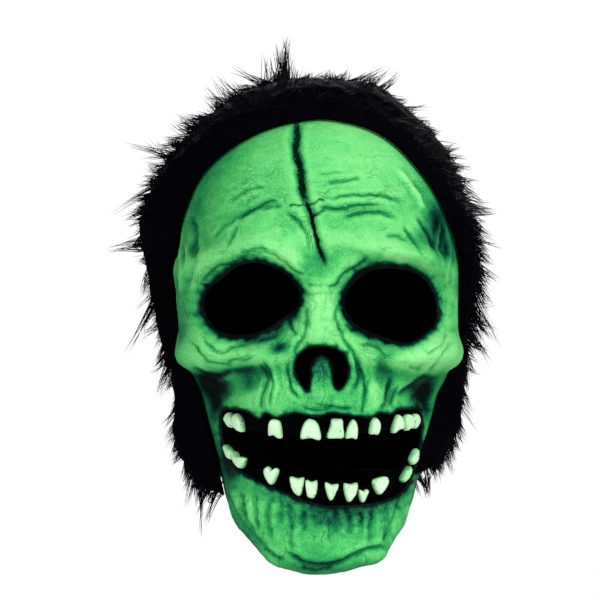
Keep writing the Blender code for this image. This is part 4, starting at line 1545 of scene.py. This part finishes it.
LOWER_TEETH = (
    Tooth("lower_tooth_01", -0.905, 0.070, 0.48, 0.05, 0.30, ((-1, 1), (1, 0.86), (1, 0), (-0.43, 0.1))),
    Tooth("lower_tooth_02", -0.800, 0.112, 0.72, 0.22, 0.25, (
        (-1, 0.57), (-0.8, 1), (-0.47, 0.72), (1, 0.78), (0.8, 0.09), (0.26, 0), (-0.8, 0.3),
    )),
    Tooth("lower_tooth_03", -0.481, 0.138, 0.90, 0.48, 0.0, (
        (-1, 0.85), (-0.46, 1), (0.03, 0.77), (0.6, 0.95), (1, 0.81), (0.71, 0.45), (0.13, 0), (-0.36, 0.12),
        (-0.94, 0.53),
    )),
    Tooth("lower_tooth_04", -0.225, 0.146, 0.94, 0.36, 0.12, (
        (-1, 1), (0, 0.94), (0.7, 1), (1, 0.91), (0.51, 0.09), (0.03, 0), (-0.65, 0.3),
    )),
    Tooth("lower_tooth_05", -0.085, 0.118, 0.90, 0.36, 0.12, (
        (-1, 1), (0, 0.93), (0.93, 1), (1, 0.56), (0.6, 0.08), (-0.07, 0), (-0.78, 0.17),
    )),
    Tooth("lower_tooth_06", 0.114, 0.138, 0.90, 0.34, 0.10, (
        (-1, 1), (0, 0.88), (1, 0.88), (0.62, 0.44), (0.14, 0.04), (-0.33, 0), (-0.81, 0.44),
    )),
    Tooth("lower_tooth_07", 0.300, 0.138, 0.92, 0.22, 0.12, (
        (-1, 1), (0, 0.95), (1, 1), (0.89, 0.48), (0.11, 0.04), (-0.44, 0), (-0.93, 0.56),
    )),
    Tooth("lower_tooth_08", 0.428, 0.088, 0.66, 0.06, 0.0, (
        (-1, 1), (-0.03, 0.85), (1, 0.98), (0.61, 0.35), (-0.19, 0), (-0.9, 0.46),
    )),
    Tooth("lower_tooth_09", 0.592, 0.134, 0.86, 0.12, 0.0, (
        (-1, 0.83), (-0.1, 1), (0.9, 1), (1, 0.67), (0.3, 0.1), (-0.2, 0), (-0.7, 0.3),
    )),
    Tooth("lower_tooth_10", 0.835, 0.092, 0.66, -0.26, 0.60, (
        (-0.75, 0.48), (0.75, 1), (1, 0.7), (0.4, 0.26), (-0.6, 0), (-1, 0.2),
    )),
    Tooth("lower_tooth_11", 0.935, 0.058, 0.60, -0.24, 0.15, ((-1, 0.67), (1, 1), (0.89, 0.33), (-0.5, 0))),
)


@dataclass
class Jaw:
    """One row of teeth on its black gum, behind one edge of the mouth."""

    form: HeadForm
    gum_finish: LiningFinish
    tooth_finish: ToothFinish
    side: str
    edge: Outline
    teeth: tuple[Tooth, ...]
    upwards: int
    seat: float
    root_gap: float
    mouth_half_width: float = 0.713 * 0.094
    mouth_drop: float = 0.6655 * 0.314
    mouth_depth: float = 0.1975 * 0.314
    gum_reach: float = 0.94
    gum_thickness: float = 0.0045
    gum_overlap: float = 0.0060
    gum_shown: float = 0.0105
    tooth_thickness: float = 0.0048
    tooth_length: float = 0.0130
    gum_columns: int = 120
    swell: float = 0.9 * MM
    corners: int = 30
    pit_scale: float = 420.0
    pit_depth: float = 0.28 * MM

    def edge_height(self, x: Array) -> Array:
        """Finds how high this edge of the mouth lies.

        Args:
            x: Places across it.

        Returns:
            The height at each.
        """
        across, depth = (np.array(values, float) for values in zip(*self.edge))
        place = np.interp(x / self.mouth_half_width, across, np.arange(len(across)))
        return self.form.wall - self.mouth_drop - self.mouth_depth * through(depth, place)

    def gum_points(self, x: Array, share: float, depth: float) -> list[Vector]:
        """Finds points of the gum.

        Args:
            x: Places across the mouth.
            share: How far from the gum's hidden to its shown border.
            depth: How deep behind its front.

        Returns:
            One point for each place.
        """
        reach = self.gum_overlap - (self.gum_overlap + self.gum_shown) * share
        z = self.edge_height(x) + self.upwards * reach
        return [Vector(p) for p in self.form.face_points(x, z, -self.form.wall - self.seat - depth)]

    def gum(self) -> None:
        """Builds the gum, swollen round each root and rounded at its borders."""
        across = np.linspace(-self.gum_reach, self.gum_reach, self.gum_columns) * self.mouth_half_width
        section = (*GUM_FRONT, *GUM_BACK)
        places = ((0.0, 0.0), (1.0, 0.0), (0.5, 0.0), (0.5, self.gum_thickness))
        borders = [self.gum_points(across, *place) for place in places]
        points = []
        for x, hidden, shown, shallow, deep in zip(across, *borders):
            deep = deep - shallow
            share_across = x / self.mouth_half_width
            near = max(math.exp(-(((share_across - t.across) / (0.55 * t.width)) ** 2)) for t in self.teeth)
            for number, (share, depth) in enumerate(section):
                swollen = self.swell * (near - 0.35) * math.sin(math.pi * min(share, 0.8))
                lift = swollen if number < len(GUM_FRONT) else 0
                points.append(hidden.lerp(shown, share) + deep * depth - deep.normalized() * lift)
        ring, count = len(section), len(across)
        faces = [tuple(range(ring)), tuple(range(ring * count - 1, ring * (count - 1) - 1, -1))]
        for i in range(count - 1):
            a, b = ring * i, ring * (i + 1)
            faces += [(a + k, b + k, b + (k + 1) % ring, a + (k + 1) % ring) for k in range(ring)]
        made = make_object(f"{self.side}_gum_ridge", points, faces, self.gum_finish.make())
        turn_outwards(made.data)
        finish_piece(made, [f"{self.side}_gum"], sharp=50)

    def tooth_frame(self, tooth: Tooth) -> tuple[Vector, Vector, Vector, Vector]:
        """Finds where a tooth stands.

        Args:
            tooth: The tooth.

        Returns:
            Its root, and its half width across, its length from the root and its thickness outwards.
        """
        x = (tooth.across + tooth.width * np.array([-0.5, 0.0, 0.5])) * self.mouth_half_width
        ends = self.edge_height(x)
        root_z = float(ends.min() if self.upwards > 0 else ends.max())
        root_z -= self.upwards * (self.root_gap + tooth.gap * self.tooth_length)
        hidden, shown = (self.gum_points(x, share, 0.0) for share in (0.0, 1.0))
        down = (shown[1] - hidden[1]).normalized()
        root = hidden[1] + down * (hidden[1].z - root_z) / -down.z
        across = shown[2] - shown[0]
        outward = down.cross(across).normalized()
        if outward.y > 0:
            outward.negate()
        sideways = down.cross(outward).normalized()
        if sideways.x < 0:
            sideways.negate()
        length = down * tooth.length * self.tooth_length
        return root, sideways * across.length / 2, length, outward * self.tooth_thickness

    def tooth(self, tooth: Tooth, finish: Material) -> None:
        """Builds one tooth, pillowed over its own outline.

        Args:
            tooth: The tooth.
            finish: Its material.
        """
        root, across, down, outward = self.tooth_frame(tooth)
        drawn = smooth_path(tooth.outline, closed=True, steps=8)
        looped = np.vstack([drawn, drawn[:1]])
        run = run_along(looped)
        where = np.linspace(0, run[-1], self.corners, endpoint=False)
        outline = np.stack([np.interp(where, run, looped[:, k]) for k in (0, 1)], axis=1)
        outline[:, 1] = np.clip(outline[:, 1], -0.03, 1.03)
        middle = np.array([outline[:, 0].mean(), outline[:, 1].mean()])
        points, edge = [], []
        for number, (share, rise) in enumerate(TOOTH_LEVELS):
            for u, v in middle + (outline - middle) * share:
                flute = 1 + 0.07 * math.sin(4.2 * u + 7.0 * tooth.across) * share - 0.10 * max(0.0, 0.25 - v)
                place = root + across * u + down * v + outward * rise * flute
                rough = noise.noise(place * self.pit_scale) * self.pit_depth
                raised = outward.normalized() * rough * (number > 1)
                points.append(place + raised + across.normalized() * rough * 0.8)
                # Painted shade: darker on the back and sides of the tooth, and all over on teeth that lie in
                # shade
                edge.append(tooth.shadowed + (1.0 if number < 3 else max(0.0, (share - 0.72) * 2.2)))
        points += [root + across * middle[0] + down * middle[1] + outward * rise for rise in (-0.06, 1.03)]
        edge += [1.0, tooth.shadowed]
        count, last = self.corners, self.corners * (len(TOOTH_LEVELS) - 1)
        faces = []
        for k in range(count):
            n = (k + 1) % count
            for level in range(len(TOOTH_LEVELS) - 1):
                a, b = level * count, (level + 1) * count
                faces.append((a + k, b + k, b + n, a + n))
            faces += [(len(points) - 2, k, n), (len(points) - 1, last + n, last + k)]
        name = tooth.node.replace("_tooth_", "_fang_")
        made = make_object(name, points, faces, finish)
        turn_outwards(made.data)
        store(made.data, "edge", np.array(edge))
        finish_piece(made, [tooth.node], sharp=180)

    def build(self) -> None:
        """Builds the gum and its teeth."""
        self.gum()
        finish = self.tooth_finish.make()
        for tooth in self.teeth:
            self.tooth(tooth, finish)


class Patch(NamedTuple):
    """A stretch of the wig whose strands make one piece: shares round the head, and places down it."""

    name: str
    first: float
    last: float
    top: float
    bottom: float
    strands: int


PATCHES = (
    Patch("fur_crown", 0.0, 1.0, 0.02, 3.6, 4400),
    Patch("fur_right", 0.0, 0.24, 3.6, 13.1, 3800),
    Patch("fur_back_right", 0.24, 0.5, 3.6, 13.1, 3600),
    Patch("fur_back_left", 0.5, 0.76, 3.6, 13.1, 3600),
    Patch("fur_left", 0.76, 1.0, 3.6, 13.1, 3800),
)


class Stand(NamedTuple):
    """How the fur stands at a level of the head, on the -X side and on the +X side.

    The drop below the crown is a share of the head's height. The body is how thick the mass is. The reach is
    how far its strands reach.
    """

    drop: float
    body_left: float
    body_right: float
    reach_left: float
    reach_right: float


FUR_STAND = (
    Stand(0.000, 0.0095, 0.0080, 0.015, 0.011),
    Stand(0.035, 0.0085, 0.0020, 0.015, 0.008),
    Stand(0.100, 0.0105, 0.0015, 0.016, 0.009),
    Stand(0.150, 0.0150, 0.0020, 0.016, 0.013),
    Stand(0.200, 0.0190, 0.0025, 0.016, 0.014),
    Stand(0.240, 0.0225, 0.0060, 0.016, 0.016),
    Stand(0.290, 0.0230, 0.0080, 0.017, 0.017),
    Stand(0.380, 0.0225, 0.0075, 0.018, 0.016),
    Stand(0.430, 0.0180, 0.0030, 0.018, 0.015),
    Stand(0.500, 0.0130, 0.0020, 0.018, 0.015),
    Stand(0.550, 0.0070, 0.0050, 0.016, 0.015),
    Stand(0.620, 0.0130, 0.0120, 0.016, 0.015),
    Stand(0.680, 0.0195, 0.0165, 0.018, 0.017),
    Stand(0.740, 0.0205, 0.0120, 0.015, 0.012),
    Stand(0.790, 0.0130, 0.0070, 0.010, 0.007),
    Stand(0.840, 0.0100, 0.0050, 0.009, 0.006),
)


class Tuft(NamedTuple):
    """A longer tuft: millimetres across, down and wide, how much longer it is, and the way that it points."""

    name: str
    across: float
    down: float
    wide: float
    longer: float
    way: Triple


TUFTS = (
    Tuft("crown_peak", -25, -4, 6, 1.9, (-0.05, 0.1, 1.0)),
    Tuft("crown_right", 38, -6, 9, 0.9, (0.75, 0.2, 0.75)),
    Tuft("crown_left", -50, 8, 8, 0.3, (-0.75, 0.2, 0.65)),
    Tuft("crown_mid_left", -39, -7, 6, 0.7, (-0.5, 0.1, 0.9)),
    Tuft("side_left_top", -80, 36, 8, 0.15, (-1.0, 0.2, 0.35)),
    Tuft("side_left_high", -88, 70, 9, 0.05, (-1.0, 0.2, 0.15)),
    Tuft("side_left_low", -94, 98, 9, 0.02, (-0.95, 0.2, -0.3)),
    Tuft("cheek_left", -86, 150, 9, 0.6, (-0.7, 0.2, -0.7)),
    Tuft("side_right", 90, 140, 10, 0.6, (0.55, 0.2, -0.8)),
    Tuft("jaw_left", -66, 245, 9, 0.9, (0.15, 0.1, -1.0)),
)


@dataclass
class FurWig:
    """The wig: a shaggy black undercoat close round the latex, and wisps of strands that grow from it."""

    form: HeadForm
    finish: FurFinish
    shadow: FurFinish
    seat: float = 0.0024
    edge_depth: float = 0.0016
    feather: float = 0.018
    rooting: float = 0.0030
    parting: float = -0.025
    crown_rise: float = 0.033
    last_place: float = 13.1
    hang: float = 0.020
    trim: float = 0.0125
    back_body: float = 0.0105
    back_reach: float = 0.022
    ridge_size: float = 0.010
    ridge_height: float = 2.0 * MM
    thinnest: float = 1.2 * MM
    strands_a_wisp: float = 13.0
    strand_width: float = 0.45 * MM
    shortest: float = 0.48
    length_spread: float = 0.85
    lay_stray: float = 0.34
    curl: float = 0.30
    gather: float = 0.86
    stray: float = 0.0022
    droop: float = 0.12
    fringe_strands: int = 3300
    seed: int = 11

    def hairline_top(self) -> float:
        """Finds where the fur begins over the middle of the face.

        Returns:
            The place, counted in rings from the crown.
        """
        signed = self.form.signed_hair()
        above = int(np.argmax(signed > 0)) - 1
        return float(np.interp(0, signed[above : above + 2], (above, above + 1)))

    def hem_shift(self, angle: Array, place: Array) -> Array:
        """Works out how far the wig's lower part is raised at the sides and hangs lower at the back.

        Args:
            angle: Round the head, 0 at the nose.
            place: Down the head, counted in rings from the crown.

        Returns:
            The shift upwards at each place.
        """
        turned = turn_from_nose(angle)
        back = smooth_step((turned - math.radians(100)) / math.radians(70))
        beside = smooth_step((math.radians(125) - turned) / math.radians(50))
        trimmed = beside * (1.0 + 0.6 * np.sign(np.sin(angle)))
        return smooth_step((place - 9.0) / 4.1) * (self.trim * trimmed - self.hang * back)

    def sheet(self, shares: Array, places: Array) -> tuple[Array, Array, Array, Array]:
        """Works out a stretch of the wig.

        Args:
            shares: Round the head, from one edge of the fur to the other.
            places: Down the head.

        Returns:
            Grids of angles, points at the fur's seat, outward directions and distances to the fur's edge.
        """
        share, place = np.meshgrid(shares, places)
        start, end = (self.form.hair_angle(place, np.full(place.shape, left)) for left in (False, True))
        angle = start + share * (2 * math.pi - start - end)
        seat = self.form.skin_point(angle, place, np.full_like(angle, self.seat))
        normal = self.form.base_normal(angle, place)
        seat[..., 2] += self.hem_shift(angle, place)
        around = 2 * math.pi * self.form.half_breadth * through(self.form.ring("side"), place, odd=True)
        top = self.hairline_top()
        edge = np.minimum(share, 1 - share) * around + np.maximum(top - place, 0) * self.crown_rise
        return angle, seat, normal, edge

    def stand(self, points: Array) -> tuple[Array, Array]:
        """Works out how the fur stands at places on the head.

        Args:
            points: The places, along the last axis.

        Returns:
            How thick the mass is and how far its strands reach.
        """
        drop = np.clip(-points[..., 2] / self.form.height, 0, 1)
        right = np.clip(points[..., 0] / 0.05, -1, 1) * 0.5 + 0.5
        behind = smooth_step(points[..., 1] / 0.08)
        drops, *columns = (np.array(values) for values in zip(*FUR_STAND))
        there = (np.interp(drop, drops, values) for values in columns)
        body_left, body_right, reach_left, reach_right = there
        body = body_left * (1 - right) + body_right * right
        reach = reach_left * (1 - right) + reach_right * right
        body = body * (1 - behind) + self.back_body * behind
        return body, reach * (1 - behind) + self.back_reach * behind

    def undercoat(self) -> None:
        """Builds the close mass under the strands, ridged the way the fur lies."""
        top = self.hairline_top()
        shares = np.linspace(0, 1, 150)
        places = np.sort(np.concatenate([np.linspace(0.02, self.last_place, 84), [top]]))
        _, seat, normal, edge = self.sheet(shares, places)
        ridge = mottle(seat.reshape(-1, 3), self.ridge_size, 3, (1.0, 1.0, 0.45)).reshape(edge.shape)
        thick, _ = self.stand(seat)
        body = self.edge_depth + (thick + self.ridge_height * ridge) * smooth_step(edge / self.feather)
        outer = seat + normal * np.maximum(body, self.thinnest)[..., None]
        rows, columns = edge.shape
        points = [*seat.reshape(-1, 3), *outer.reshape(-1, 3)]
        flip, faces = rows * columns, []
        for r in range(rows - 1):
            for c in range(columns - 1):
                a, b = r * columns + c, (r + 1) * columns + c
                ring = (a, b, b + 1, a + 1)
                faces += [ring[::-1], tuple(flip + v for v in ring)]
            if places[r] >= top:
                for c in (0, columns - 1):
                    a, b = r * columns + c, (r + 1) * columns + c
                    faces.append((a, b, flip + b, flip + a))
        for c in range(columns - 1):
            a = (rows - 1) * columns + c
            faces.append((a, a + 1, flip + a + 1, flip + a))
        for start, turned in ((0, False), (flip, True)):
            ring = [start + c for c in range(columns - 1)]
            faces.append(tuple(reversed(ring)) if turned else tuple(ring))
        made = make_object("fur_undercoat", points, faces, self.shadow.make())
        turn_outwards(made.data, merge=0.05 * MM)
        finish_piece(made, ["fur_wig"], sharp=180)

    def lay(self, seat: Array, normal: Array) -> Array:
        """Works out which way the fur lies.

        Args:
            seat: Where it grows.
            normal: The head's outward direction there.

        Returns:
            One direction for each place.
        """
        low = np.clip(-seat[:, 2:] / self.form.height, 0, 1)
        down = np.array([0.0, 0.0, -1.0]) + normal * normal[:, 2:]
        parted = np.zeros_like(seat)
        parted[:, 0] = np.tanh((seat[:, 0] - self.parting) / 0.03)
        parted[:, 1] = 0.6
        right = np.clip(seat[:, :1] / 0.05, -1, 1) * 0.5 + 0.5
        behind = smooth_step(seat[:, 1:2] / 0.08)
        outward = (0.52 - 0.26 * right - 0.10 * (1 - right) * smooth_step((low - 0.4) / 0.3)) * (1 - behind)
        outward += 0.34 * behind
        way = normal * outward + down * (0.25 + 0.75 * smooth_step(low / 0.7)) + parted * 0.5 * (1 - low)
        way /= np.linalg.norm(way, axis=1, keepdims=True)
        for tuft in TUFTS:
            share = self.tuft_share(tuft, seat)[:, None]
            way = way * (1 - share) + np.array(tuft.way) * share
        return way / np.linalg.norm(way, axis=1, keepdims=True)

    def tuft_share(self, tuft: Tuft, seat: Array) -> Array:
        """How much places belong to a tuft, from 0 to 1, which is 0 behind the head."""
        gap = np.hypot(seat[:, 0] / MM - tuft.across, seat[:, 2] / MM + tuft.down)
        return np.exp(-((gap / tuft.wide) ** 2)) * smooth_step((0.05 - seat[:, 1]) / 0.03)

    def scalp(self, patch: Patch) -> Object:
        """Builds the surface that a patch's strands grow from.

        Args:
            patch: The patch.

        Returns:
            The surface, which carries the strands' lay and reach.
        """
        columns = 12 + int(70 * (patch.last - patch.first))
        shares = np.linspace(patch.first, patch.last, columns)
        places = np.linspace(patch.top, patch.bottom, 34)
        _, seat, normal, edge = self.sheet(shares, places)
        thick, reach = self.stand(seat)
        body = self.edge_depth + thick * smooth_step(edge / self.feather)
        body = np.maximum(body - self.rooting, 0.4 * body)
        grown = (seat + normal * body[..., None]).reshape(-1, 3)
        seat, normal, edge = seat.reshape(-1, 3), normal.reshape(-1, 3), edge.ravel()
        reach = reach.ravel() * (0.60 + 0.40 * smooth_step(edge / 0.02))
        for tuft in TUFTS:
            reach *= 1 + tuft.longer * self.tuft_share(tuft, seat)
        faces = []
        for r in range(len(places) - 1):
            for c in range(columns - 1):
                a = r * columns + c
                faces.append((a, a + columns, a + columns + 1, a + 1))
        made = make_object(f"{patch.name}_scalp", grown, faces)
        store(made.data, "lay", self.lay(seat, normal), VECTOR)
        store(made.data, "reach", reach)
        return made

    def fringe(self) -> Object:
        """Builds the band along the fur's edge that its short strands grow from, some over the face.

        Returns:
            The band, which carries the strands' lay and reach.
        """
        top = self.hairline_top()
        turn = np.linspace(-1, 1, 400)
        place = top + (self.last_place - top) * np.abs(turn) ** 1.8
        angle = np.sign(turn) * self.form.hair_angle(place, turn < 0)
        line = self.form.skin_point(angle, place, np.full_like(angle, self.seat))
        line[:, 2] += self.hem_shift(angle, place)
        run = run_along(line)
        where = np.linspace(0, run[-1], 200)
        line = np.stack([np.interp(where, run, line[:, k]) for k in range(3)], axis=1)
        normal = self.form.base_normal(np.interp(where, run, angle), np.interp(where, run, place))
        away = np.cross(normal, np.gradient(line, axis=0))
        away /= np.linalg.norm(away, axis=1, keepdims=True)
        outwards = np.sum(away * (line - np.array([0, line[:, 1].mean(), -0.13])), axis=1)
        away *= np.sign(outwards)[:, None]
        thick, _ = self.stand(line)
        steps = (0.0004, 0.0040, 0.0090, 0.0150)
        rows = []
        for across in steps:
            high = 0.3 * self.edge_depth + thick * float(smooth_step(np.array(across / self.feather)))
            rows.append(line + away * across + normal * (high * 0.9)[:, None])
        points = np.concatenate(rows)
        count = len(line)
        starts = [r * count + i for r in range(len(steps) - 1) for i in range(count - 1)]
        faces = [(a, a + 1, a + count + 1, a + count) for a in starts]
        made = make_object("fur_fringe_scalp", points, faces)
        low = np.clip(-line[:, 2:] / self.form.height, 0, 1)
        way = np.concatenate([away * 0.7 + normal * 0.55 + np.array([0, 0, -0.8]) * low] * len(steps))
        store(made.data, "lay", way / np.linalg.norm(way, axis=1, keepdims=True), VECTOR)
        store(made.data, "reach", np.repeat([0.007, 0.010, 0.012, 0.013], count))
        return made

    def strand_tree(self) -> NodeTree:
        """Builds the Geometry Nodes that grow tapered strands, gathered towards the wisps' tips.

        Returns:
            The node tree.
        """
        tree = bpy.data.node_groups.new("fur_strands", "GeometryNodeTree")
        numbers = [(name, "Float") for name in ("Strands", "Wisps", "Width", "Gather", "Stray", "Droop")]
        for name, kind in (("Scalp", "Geometry"), *numbers, ("Seed", "Int"), ("Fur", "Material")):
            tree.interface.new_socket(name=name, in_out="INPUT", socket_type=f"NodeSocket{kind}")
        tree.interface.new_socket(name="Strands", in_out="OUTPUT", socket_type="NodeSocketGeometry")
        graph = Graph(tree)
        entry = graph.add("NodeGroupInput", {}, {}, "Scalp")
        seed = entry.other("Seed")

        def field(name: str, kind: str = "FLOAT") -> Term:
            """Reads what the points carry under a name."""
            return graph.add("GeometryNodeInputNamedAttribute", {"data_type": kind}, {"Name": name})

        def chance(low: float, high: float, salt: int) -> Term:
            """A random number for each point."""
            return graph.add("FunctionNodeRandomValue", {}, {"Min": low, "Max": high, "Seed": seed + salt})

        def stray_vector(size: float, salt: int) -> Term:
            """A random vector for each point."""
            bounds = {"Min": (-size,) * 3, "Max": (size,) * 3, "Seed": seed + salt}
            return graph.add("FunctionNodeRandomValue", {"data_type": VECTOR}, bounds)

        def kept(geometry: Term, name: str, value: Term, kind: str = "FLOAT") -> Term:
            """Stores a value on the points under a name."""
            inputs = {"Geometry": geometry, "Name": name, "Value": value}
            return graph.add("GeometryNodeStoreNamedAttribute", {"data_type": kind}, inputs)

        place = graph.add("GeometryNodeInputPosition", {}, {})
        spread = "GeometryNodeDistributePointsOnFaces"
        wisps = graph.add(spread, {}, {"Mesh": entry, "Density": entry.other("Wisps"), "Seed": seed})
        roots = graph.add(spread, {}, {"Mesh": entry, "Density": entry.other("Strands"), "Seed": seed + 1})
        length = field("reach") * (chance(0.0, 1.0, 2) ** 2.0 * self.length_spread + self.shortest)
        way = field("lay", VECTOR) + stray_vector(self.lay_stray, 3)
        near = graph.add("GeometryNodeSampleNearest", {}, {"Geometry": wisps, "Sample Position": place})

        def of_wisp(value: Term) -> Term:
            """A vector as it is at the root of the nearest wisp."""
            inputs = {"Geometry": wisps, "Value": value, "Index": near}
            return graph.add("GeometryNodeSampleIndex", {"data_type": VECTOR}, inputs)

        roots = kept(roots, "root", place, VECTOR)
        roots = kept(roots, "wisp", of_wisp(place), VECTOR)
        roots = kept(roots, "run", of_wisp(way * length), VECTOR)
        roots = kept(roots, "curl", of_wisp(stray_vector(self.curl, 4)), VECTOR)
        roots = kept(roots, "stray", stray_vector(1.0, 5), VECTOR)
        roots = kept(roots, "cut", chance(0.60, 1.12, 6))
        roots = kept(roots, "thick", chance(0.55, 1.15, 7))
        straight = graph.add("GeometryNodeCurvePrimitiveLine", {}, {"End": (0.0, 0.0, 1.0)})
        straight = graph.add("GeometryNodeResampleCurve", {"mode": "COUNT"}, {"Curve": straight, "Count": 6})
        grown = graph.add("GeometryNodeInstanceOnPoints", {}, {"Points": roots, "Instance": straight})
        grown = graph.add("GeometryNodeRealizeInstances", {}, {"Geometry": grown})
        along = graph.add("GeometryNodeSplineParameter", {}, {})
        reached = along * field("cut")
        run, root, wisp = (field(name, VECTOR) for name in ("run", "root", "wisp"))
        size = graph.add("ShaderNodeVectorMath", {"operation": "LENGTH"}, {0: run}, "Value")
        bend = field("curl", VECTOR) * size * (reached * reached)
        lowered = entry.other("Droop") * size * (reached * reached) * -1.0
        sag = graph.add("ShaderNodeCombineXYZ", {}, {"Z": lowered})
        apart = (root - wisp) * (1 - entry.other("Gather") * (along**1.4))
        loose = field("stray", VECTOR) * entry.other("Stray") * (along * along)
        path = wisp + run * reached + bend + sag + apart + loose
        grown = graph.add("GeometryNodeSetPosition", {}, {"Geometry": grown, "Position": path})
        grown = kept(grown, "tip", along)
        taper = (1 - along) ** 0.75 * 0.92 + 0.08
        profile = graph.add("GeometryNodeCurvePrimitiveCircle", {}, {"Resolution": 3, "Radius": 1.0}, "Curve")
        width = taper * field("thick") * entry.other("Width")
        inputs = {"Curve": grown, "Profile Curve": profile, "Fill Caps": True, "Scale": width}
        solid = graph.add("GeometryNodeCurveToMesh", {}, inputs)
        solid = graph.add("GeometryNodeSetMaterial", {}, {"Geometry": solid, "Material": entry.other("Fur")})
        leave = tree.nodes.new("NodeGroupOutput")
        tree.links.new(solid.socket, leave.inputs["Strands"])
        return tree

    def grow(
        self, name: str, scalp: Object, strands: int, number: int, tree: NodeTree, fur: Material
    ) -> None:
        """Grows the strands of one piece.

        Args:
            name: The piece's name.
            scalp: The surface that they grow from, which is used up.
            strands: About how many there are.
            number: The piece's number, which varies the seed.
            tree: The Geometry Nodes.
            fur: The material.
        """
        area = sum(face.area for face in scalp.data.polygons)
        modifier = scalp.modifiers.new("strands", "NODES")
        modifier.node_group = tree
        values = {
            "Strands": strands / area,
            "Wisps": strands / self.strands_a_wisp / area,
            "Width": self.strand_width,
            "Gather": self.gather,
            "Stray": self.stray,
            "Droop": self.droop,
            "Seed": self.seed + 10 * number,
            "Fur": fur,
        }
        for item in tree.interface.items_tree:
            if item.in_out == "INPUT" and item.name in values:
                modifier[item.identifier] = values[item.name]
        evaluated = scalp.evaluated_get(bpy.context.evaluated_depsgraph_get())
        mesh = bpy.data.meshes.new_from_object(evaluated)
        made = bpy.data.objects.new(name, mesh)
        bpy.context.scene.collection.objects.link(made)
        bpy.data.objects.remove(scalp)
        finish_piece(made, [], sharp=180)

    def build(self) -> None:
        """Builds the undercoat and every patch of strands."""
        self.undercoat()
        tree, fur = self.strand_tree(), self.finish.make()
        self.grow("fur_fringe", self.fringe(), self.fringe_strands, 0, tree, fur)
        for number, patch in enumerate(PATCHES, 1):
            self.grow(patch.name, self.scalp(patch), patch.strands, number, tree, fur)


class Lamp(NamedTuple):
    """A soft square lamp that faces the mask: its place, how wide it is and its watts."""

    name: str
    place: Triple
    size: float
    watts: float


LAMPS = (
    Lamp("key", (1.2, -1.6, 0.8), 0.7, 30.0),
    Lamp("fill", (-1.4, -1.8, 0.2), 1.2, 18.0),
    Lamp("back", (0.0, 2.0, 0.8), 1.2, 40.0),
)


@dataclass
class Studio:
    """A pale floor, soft light and the camera."""

    image_pixels: int = 600
    pixel_size: float = 0.655 * MM
    centre: tuple[float, float] = (-0.0131, -0.1330)
    face_plane: float = -0.070
    distance: float = 3.0
    floor_height: float = -0.380
    floor_radius: float = 0.6
    floor_roughness: float = 0.8
    floor_colour: tuple[float, float, float, float] = (0.86, 0.86, 0.87, 1.0)
    lit_point: Triple = (0.0, 0.0, -0.15)
    soft_light: float = 0.29

    def floor(self) -> None:
        """Lays the floor that the mask is held above."""
        turns = np.linspace(0, 2 * math.pi, 96, endpoint=False)
        radius, height = self.floor_radius, self.floor_height
        points = [(radius * math.cos(t), radius * math.sin(t), height) for t in turns]
        count = len(points)
        points.append((0, 0, height))
        surface = Surface("pale_floor", self.floor_roughness)
        surface.feed("Base Color", self.floor_colour)
        faces = [(i, (i + 1) % count, count) for i in range(count)]
        make_object("floor", points, faces, surface.material)

    def hang(self, lamp: Lamp) -> None:
        """Hangs one lamp.

        Args:
            lamp: The lamp.
        """
        light = bpy.data.lights.new(lamp.name, "AREA")
        light.size = lamp.size
        light.energy = lamp.watts
        made = bpy.data.objects.new(lamp.name, light)
        made.location = lamp.place
        aim = Vector(self.lit_point) - Vector(lamp.place)
        made.rotation_euler = aim.to_track_quat("-Z", "Y").to_euler()
        bpy.context.scene.collection.objects.link(made)

    def camera(self) -> None:
        """Stands the camera level, straight in front of the face."""
        camera = bpy.data.cameras.new("camera")
        camera.sensor_width = 36.0
        width = self.image_pixels * self.pixel_size
        camera.lens = camera.sensor_width * (self.distance + self.face_plane) / width
        camera.clip_end = 50.0
        made = bpy.data.objects.new("camera", camera)
        made.location = (self.centre[0], -self.distance, self.centre[1])
        made.rotation_euler = (math.pi / 2, 0, 0)
        bpy.context.scene.collection.objects.link(made)
        bpy.context.scene.camera = made

    def build(self) -> None:
        """Sets everything up."""
        world = bpy.data.worlds.new("studio")
        world.use_nodes = True
        graph = Graph(world.node_tree)
        white = (1.0, 1.0, 1.0, 1.0)
        soft = graph.add("ShaderNodeBackground", {}, {"Color": white, "Strength": self.soft_light})
        seen = graph.add("ShaderNodeBackground", {}, {"Color": white, "Strength": 1.0})
        seen_directly = graph.add("ShaderNodeLightPath", {}, {}, "Is Camera Ray")
        mixed = graph.add("ShaderNodeMixShader", {}, {0: seen_directly, 1: soft, 2: seen})
        world.node_tree.links.new(mixed.socket, world.node_tree.nodes["World Output"].inputs["Surface"])
        bpy.context.scene.world = world
        bpy.context.scene.view_settings.view_transform = "Standard"
        self.camera()
        self.floor()
        for lamp in LAMPS:
            self.hang(lamp)


def main() -> None:
    """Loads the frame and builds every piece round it."""
    logging.basicConfig(level=logging.INFO, format="%(name)s %(message)s")
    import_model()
    Studio().build()
    form = HeadForm()
    lining = LiningFinish("black_lining", colour=(0.0007, 0.0007, 0.0012), roughness=0.8, gloss=0.02)
    FaceSkin(form, SkinFinish(), lining).build()
    gum = LiningFinish("black_latex", colour=(0.0005, 0.0007, 0.0014), roughness=0.6, gloss=0.015)
    paint = ToothFinish()
    Jaw(form, gum, paint, "upper", UPPER_EDGE, UPPER_TEETH, upwards=1, seat=0.0016, root_gap=-0.0014).build()
    Jaw(form, gum, paint, "lower", LOWER_EDGE, LOWER_TEETH, upwards=-1, seat=0.0009, root_gap=0.0012).build()
    FurWig(form, FurFinish(), FurFinish("fur_shadow", roughness=0.8, gloss=0.02)).build()


if __name__ == "__main__":
    main()
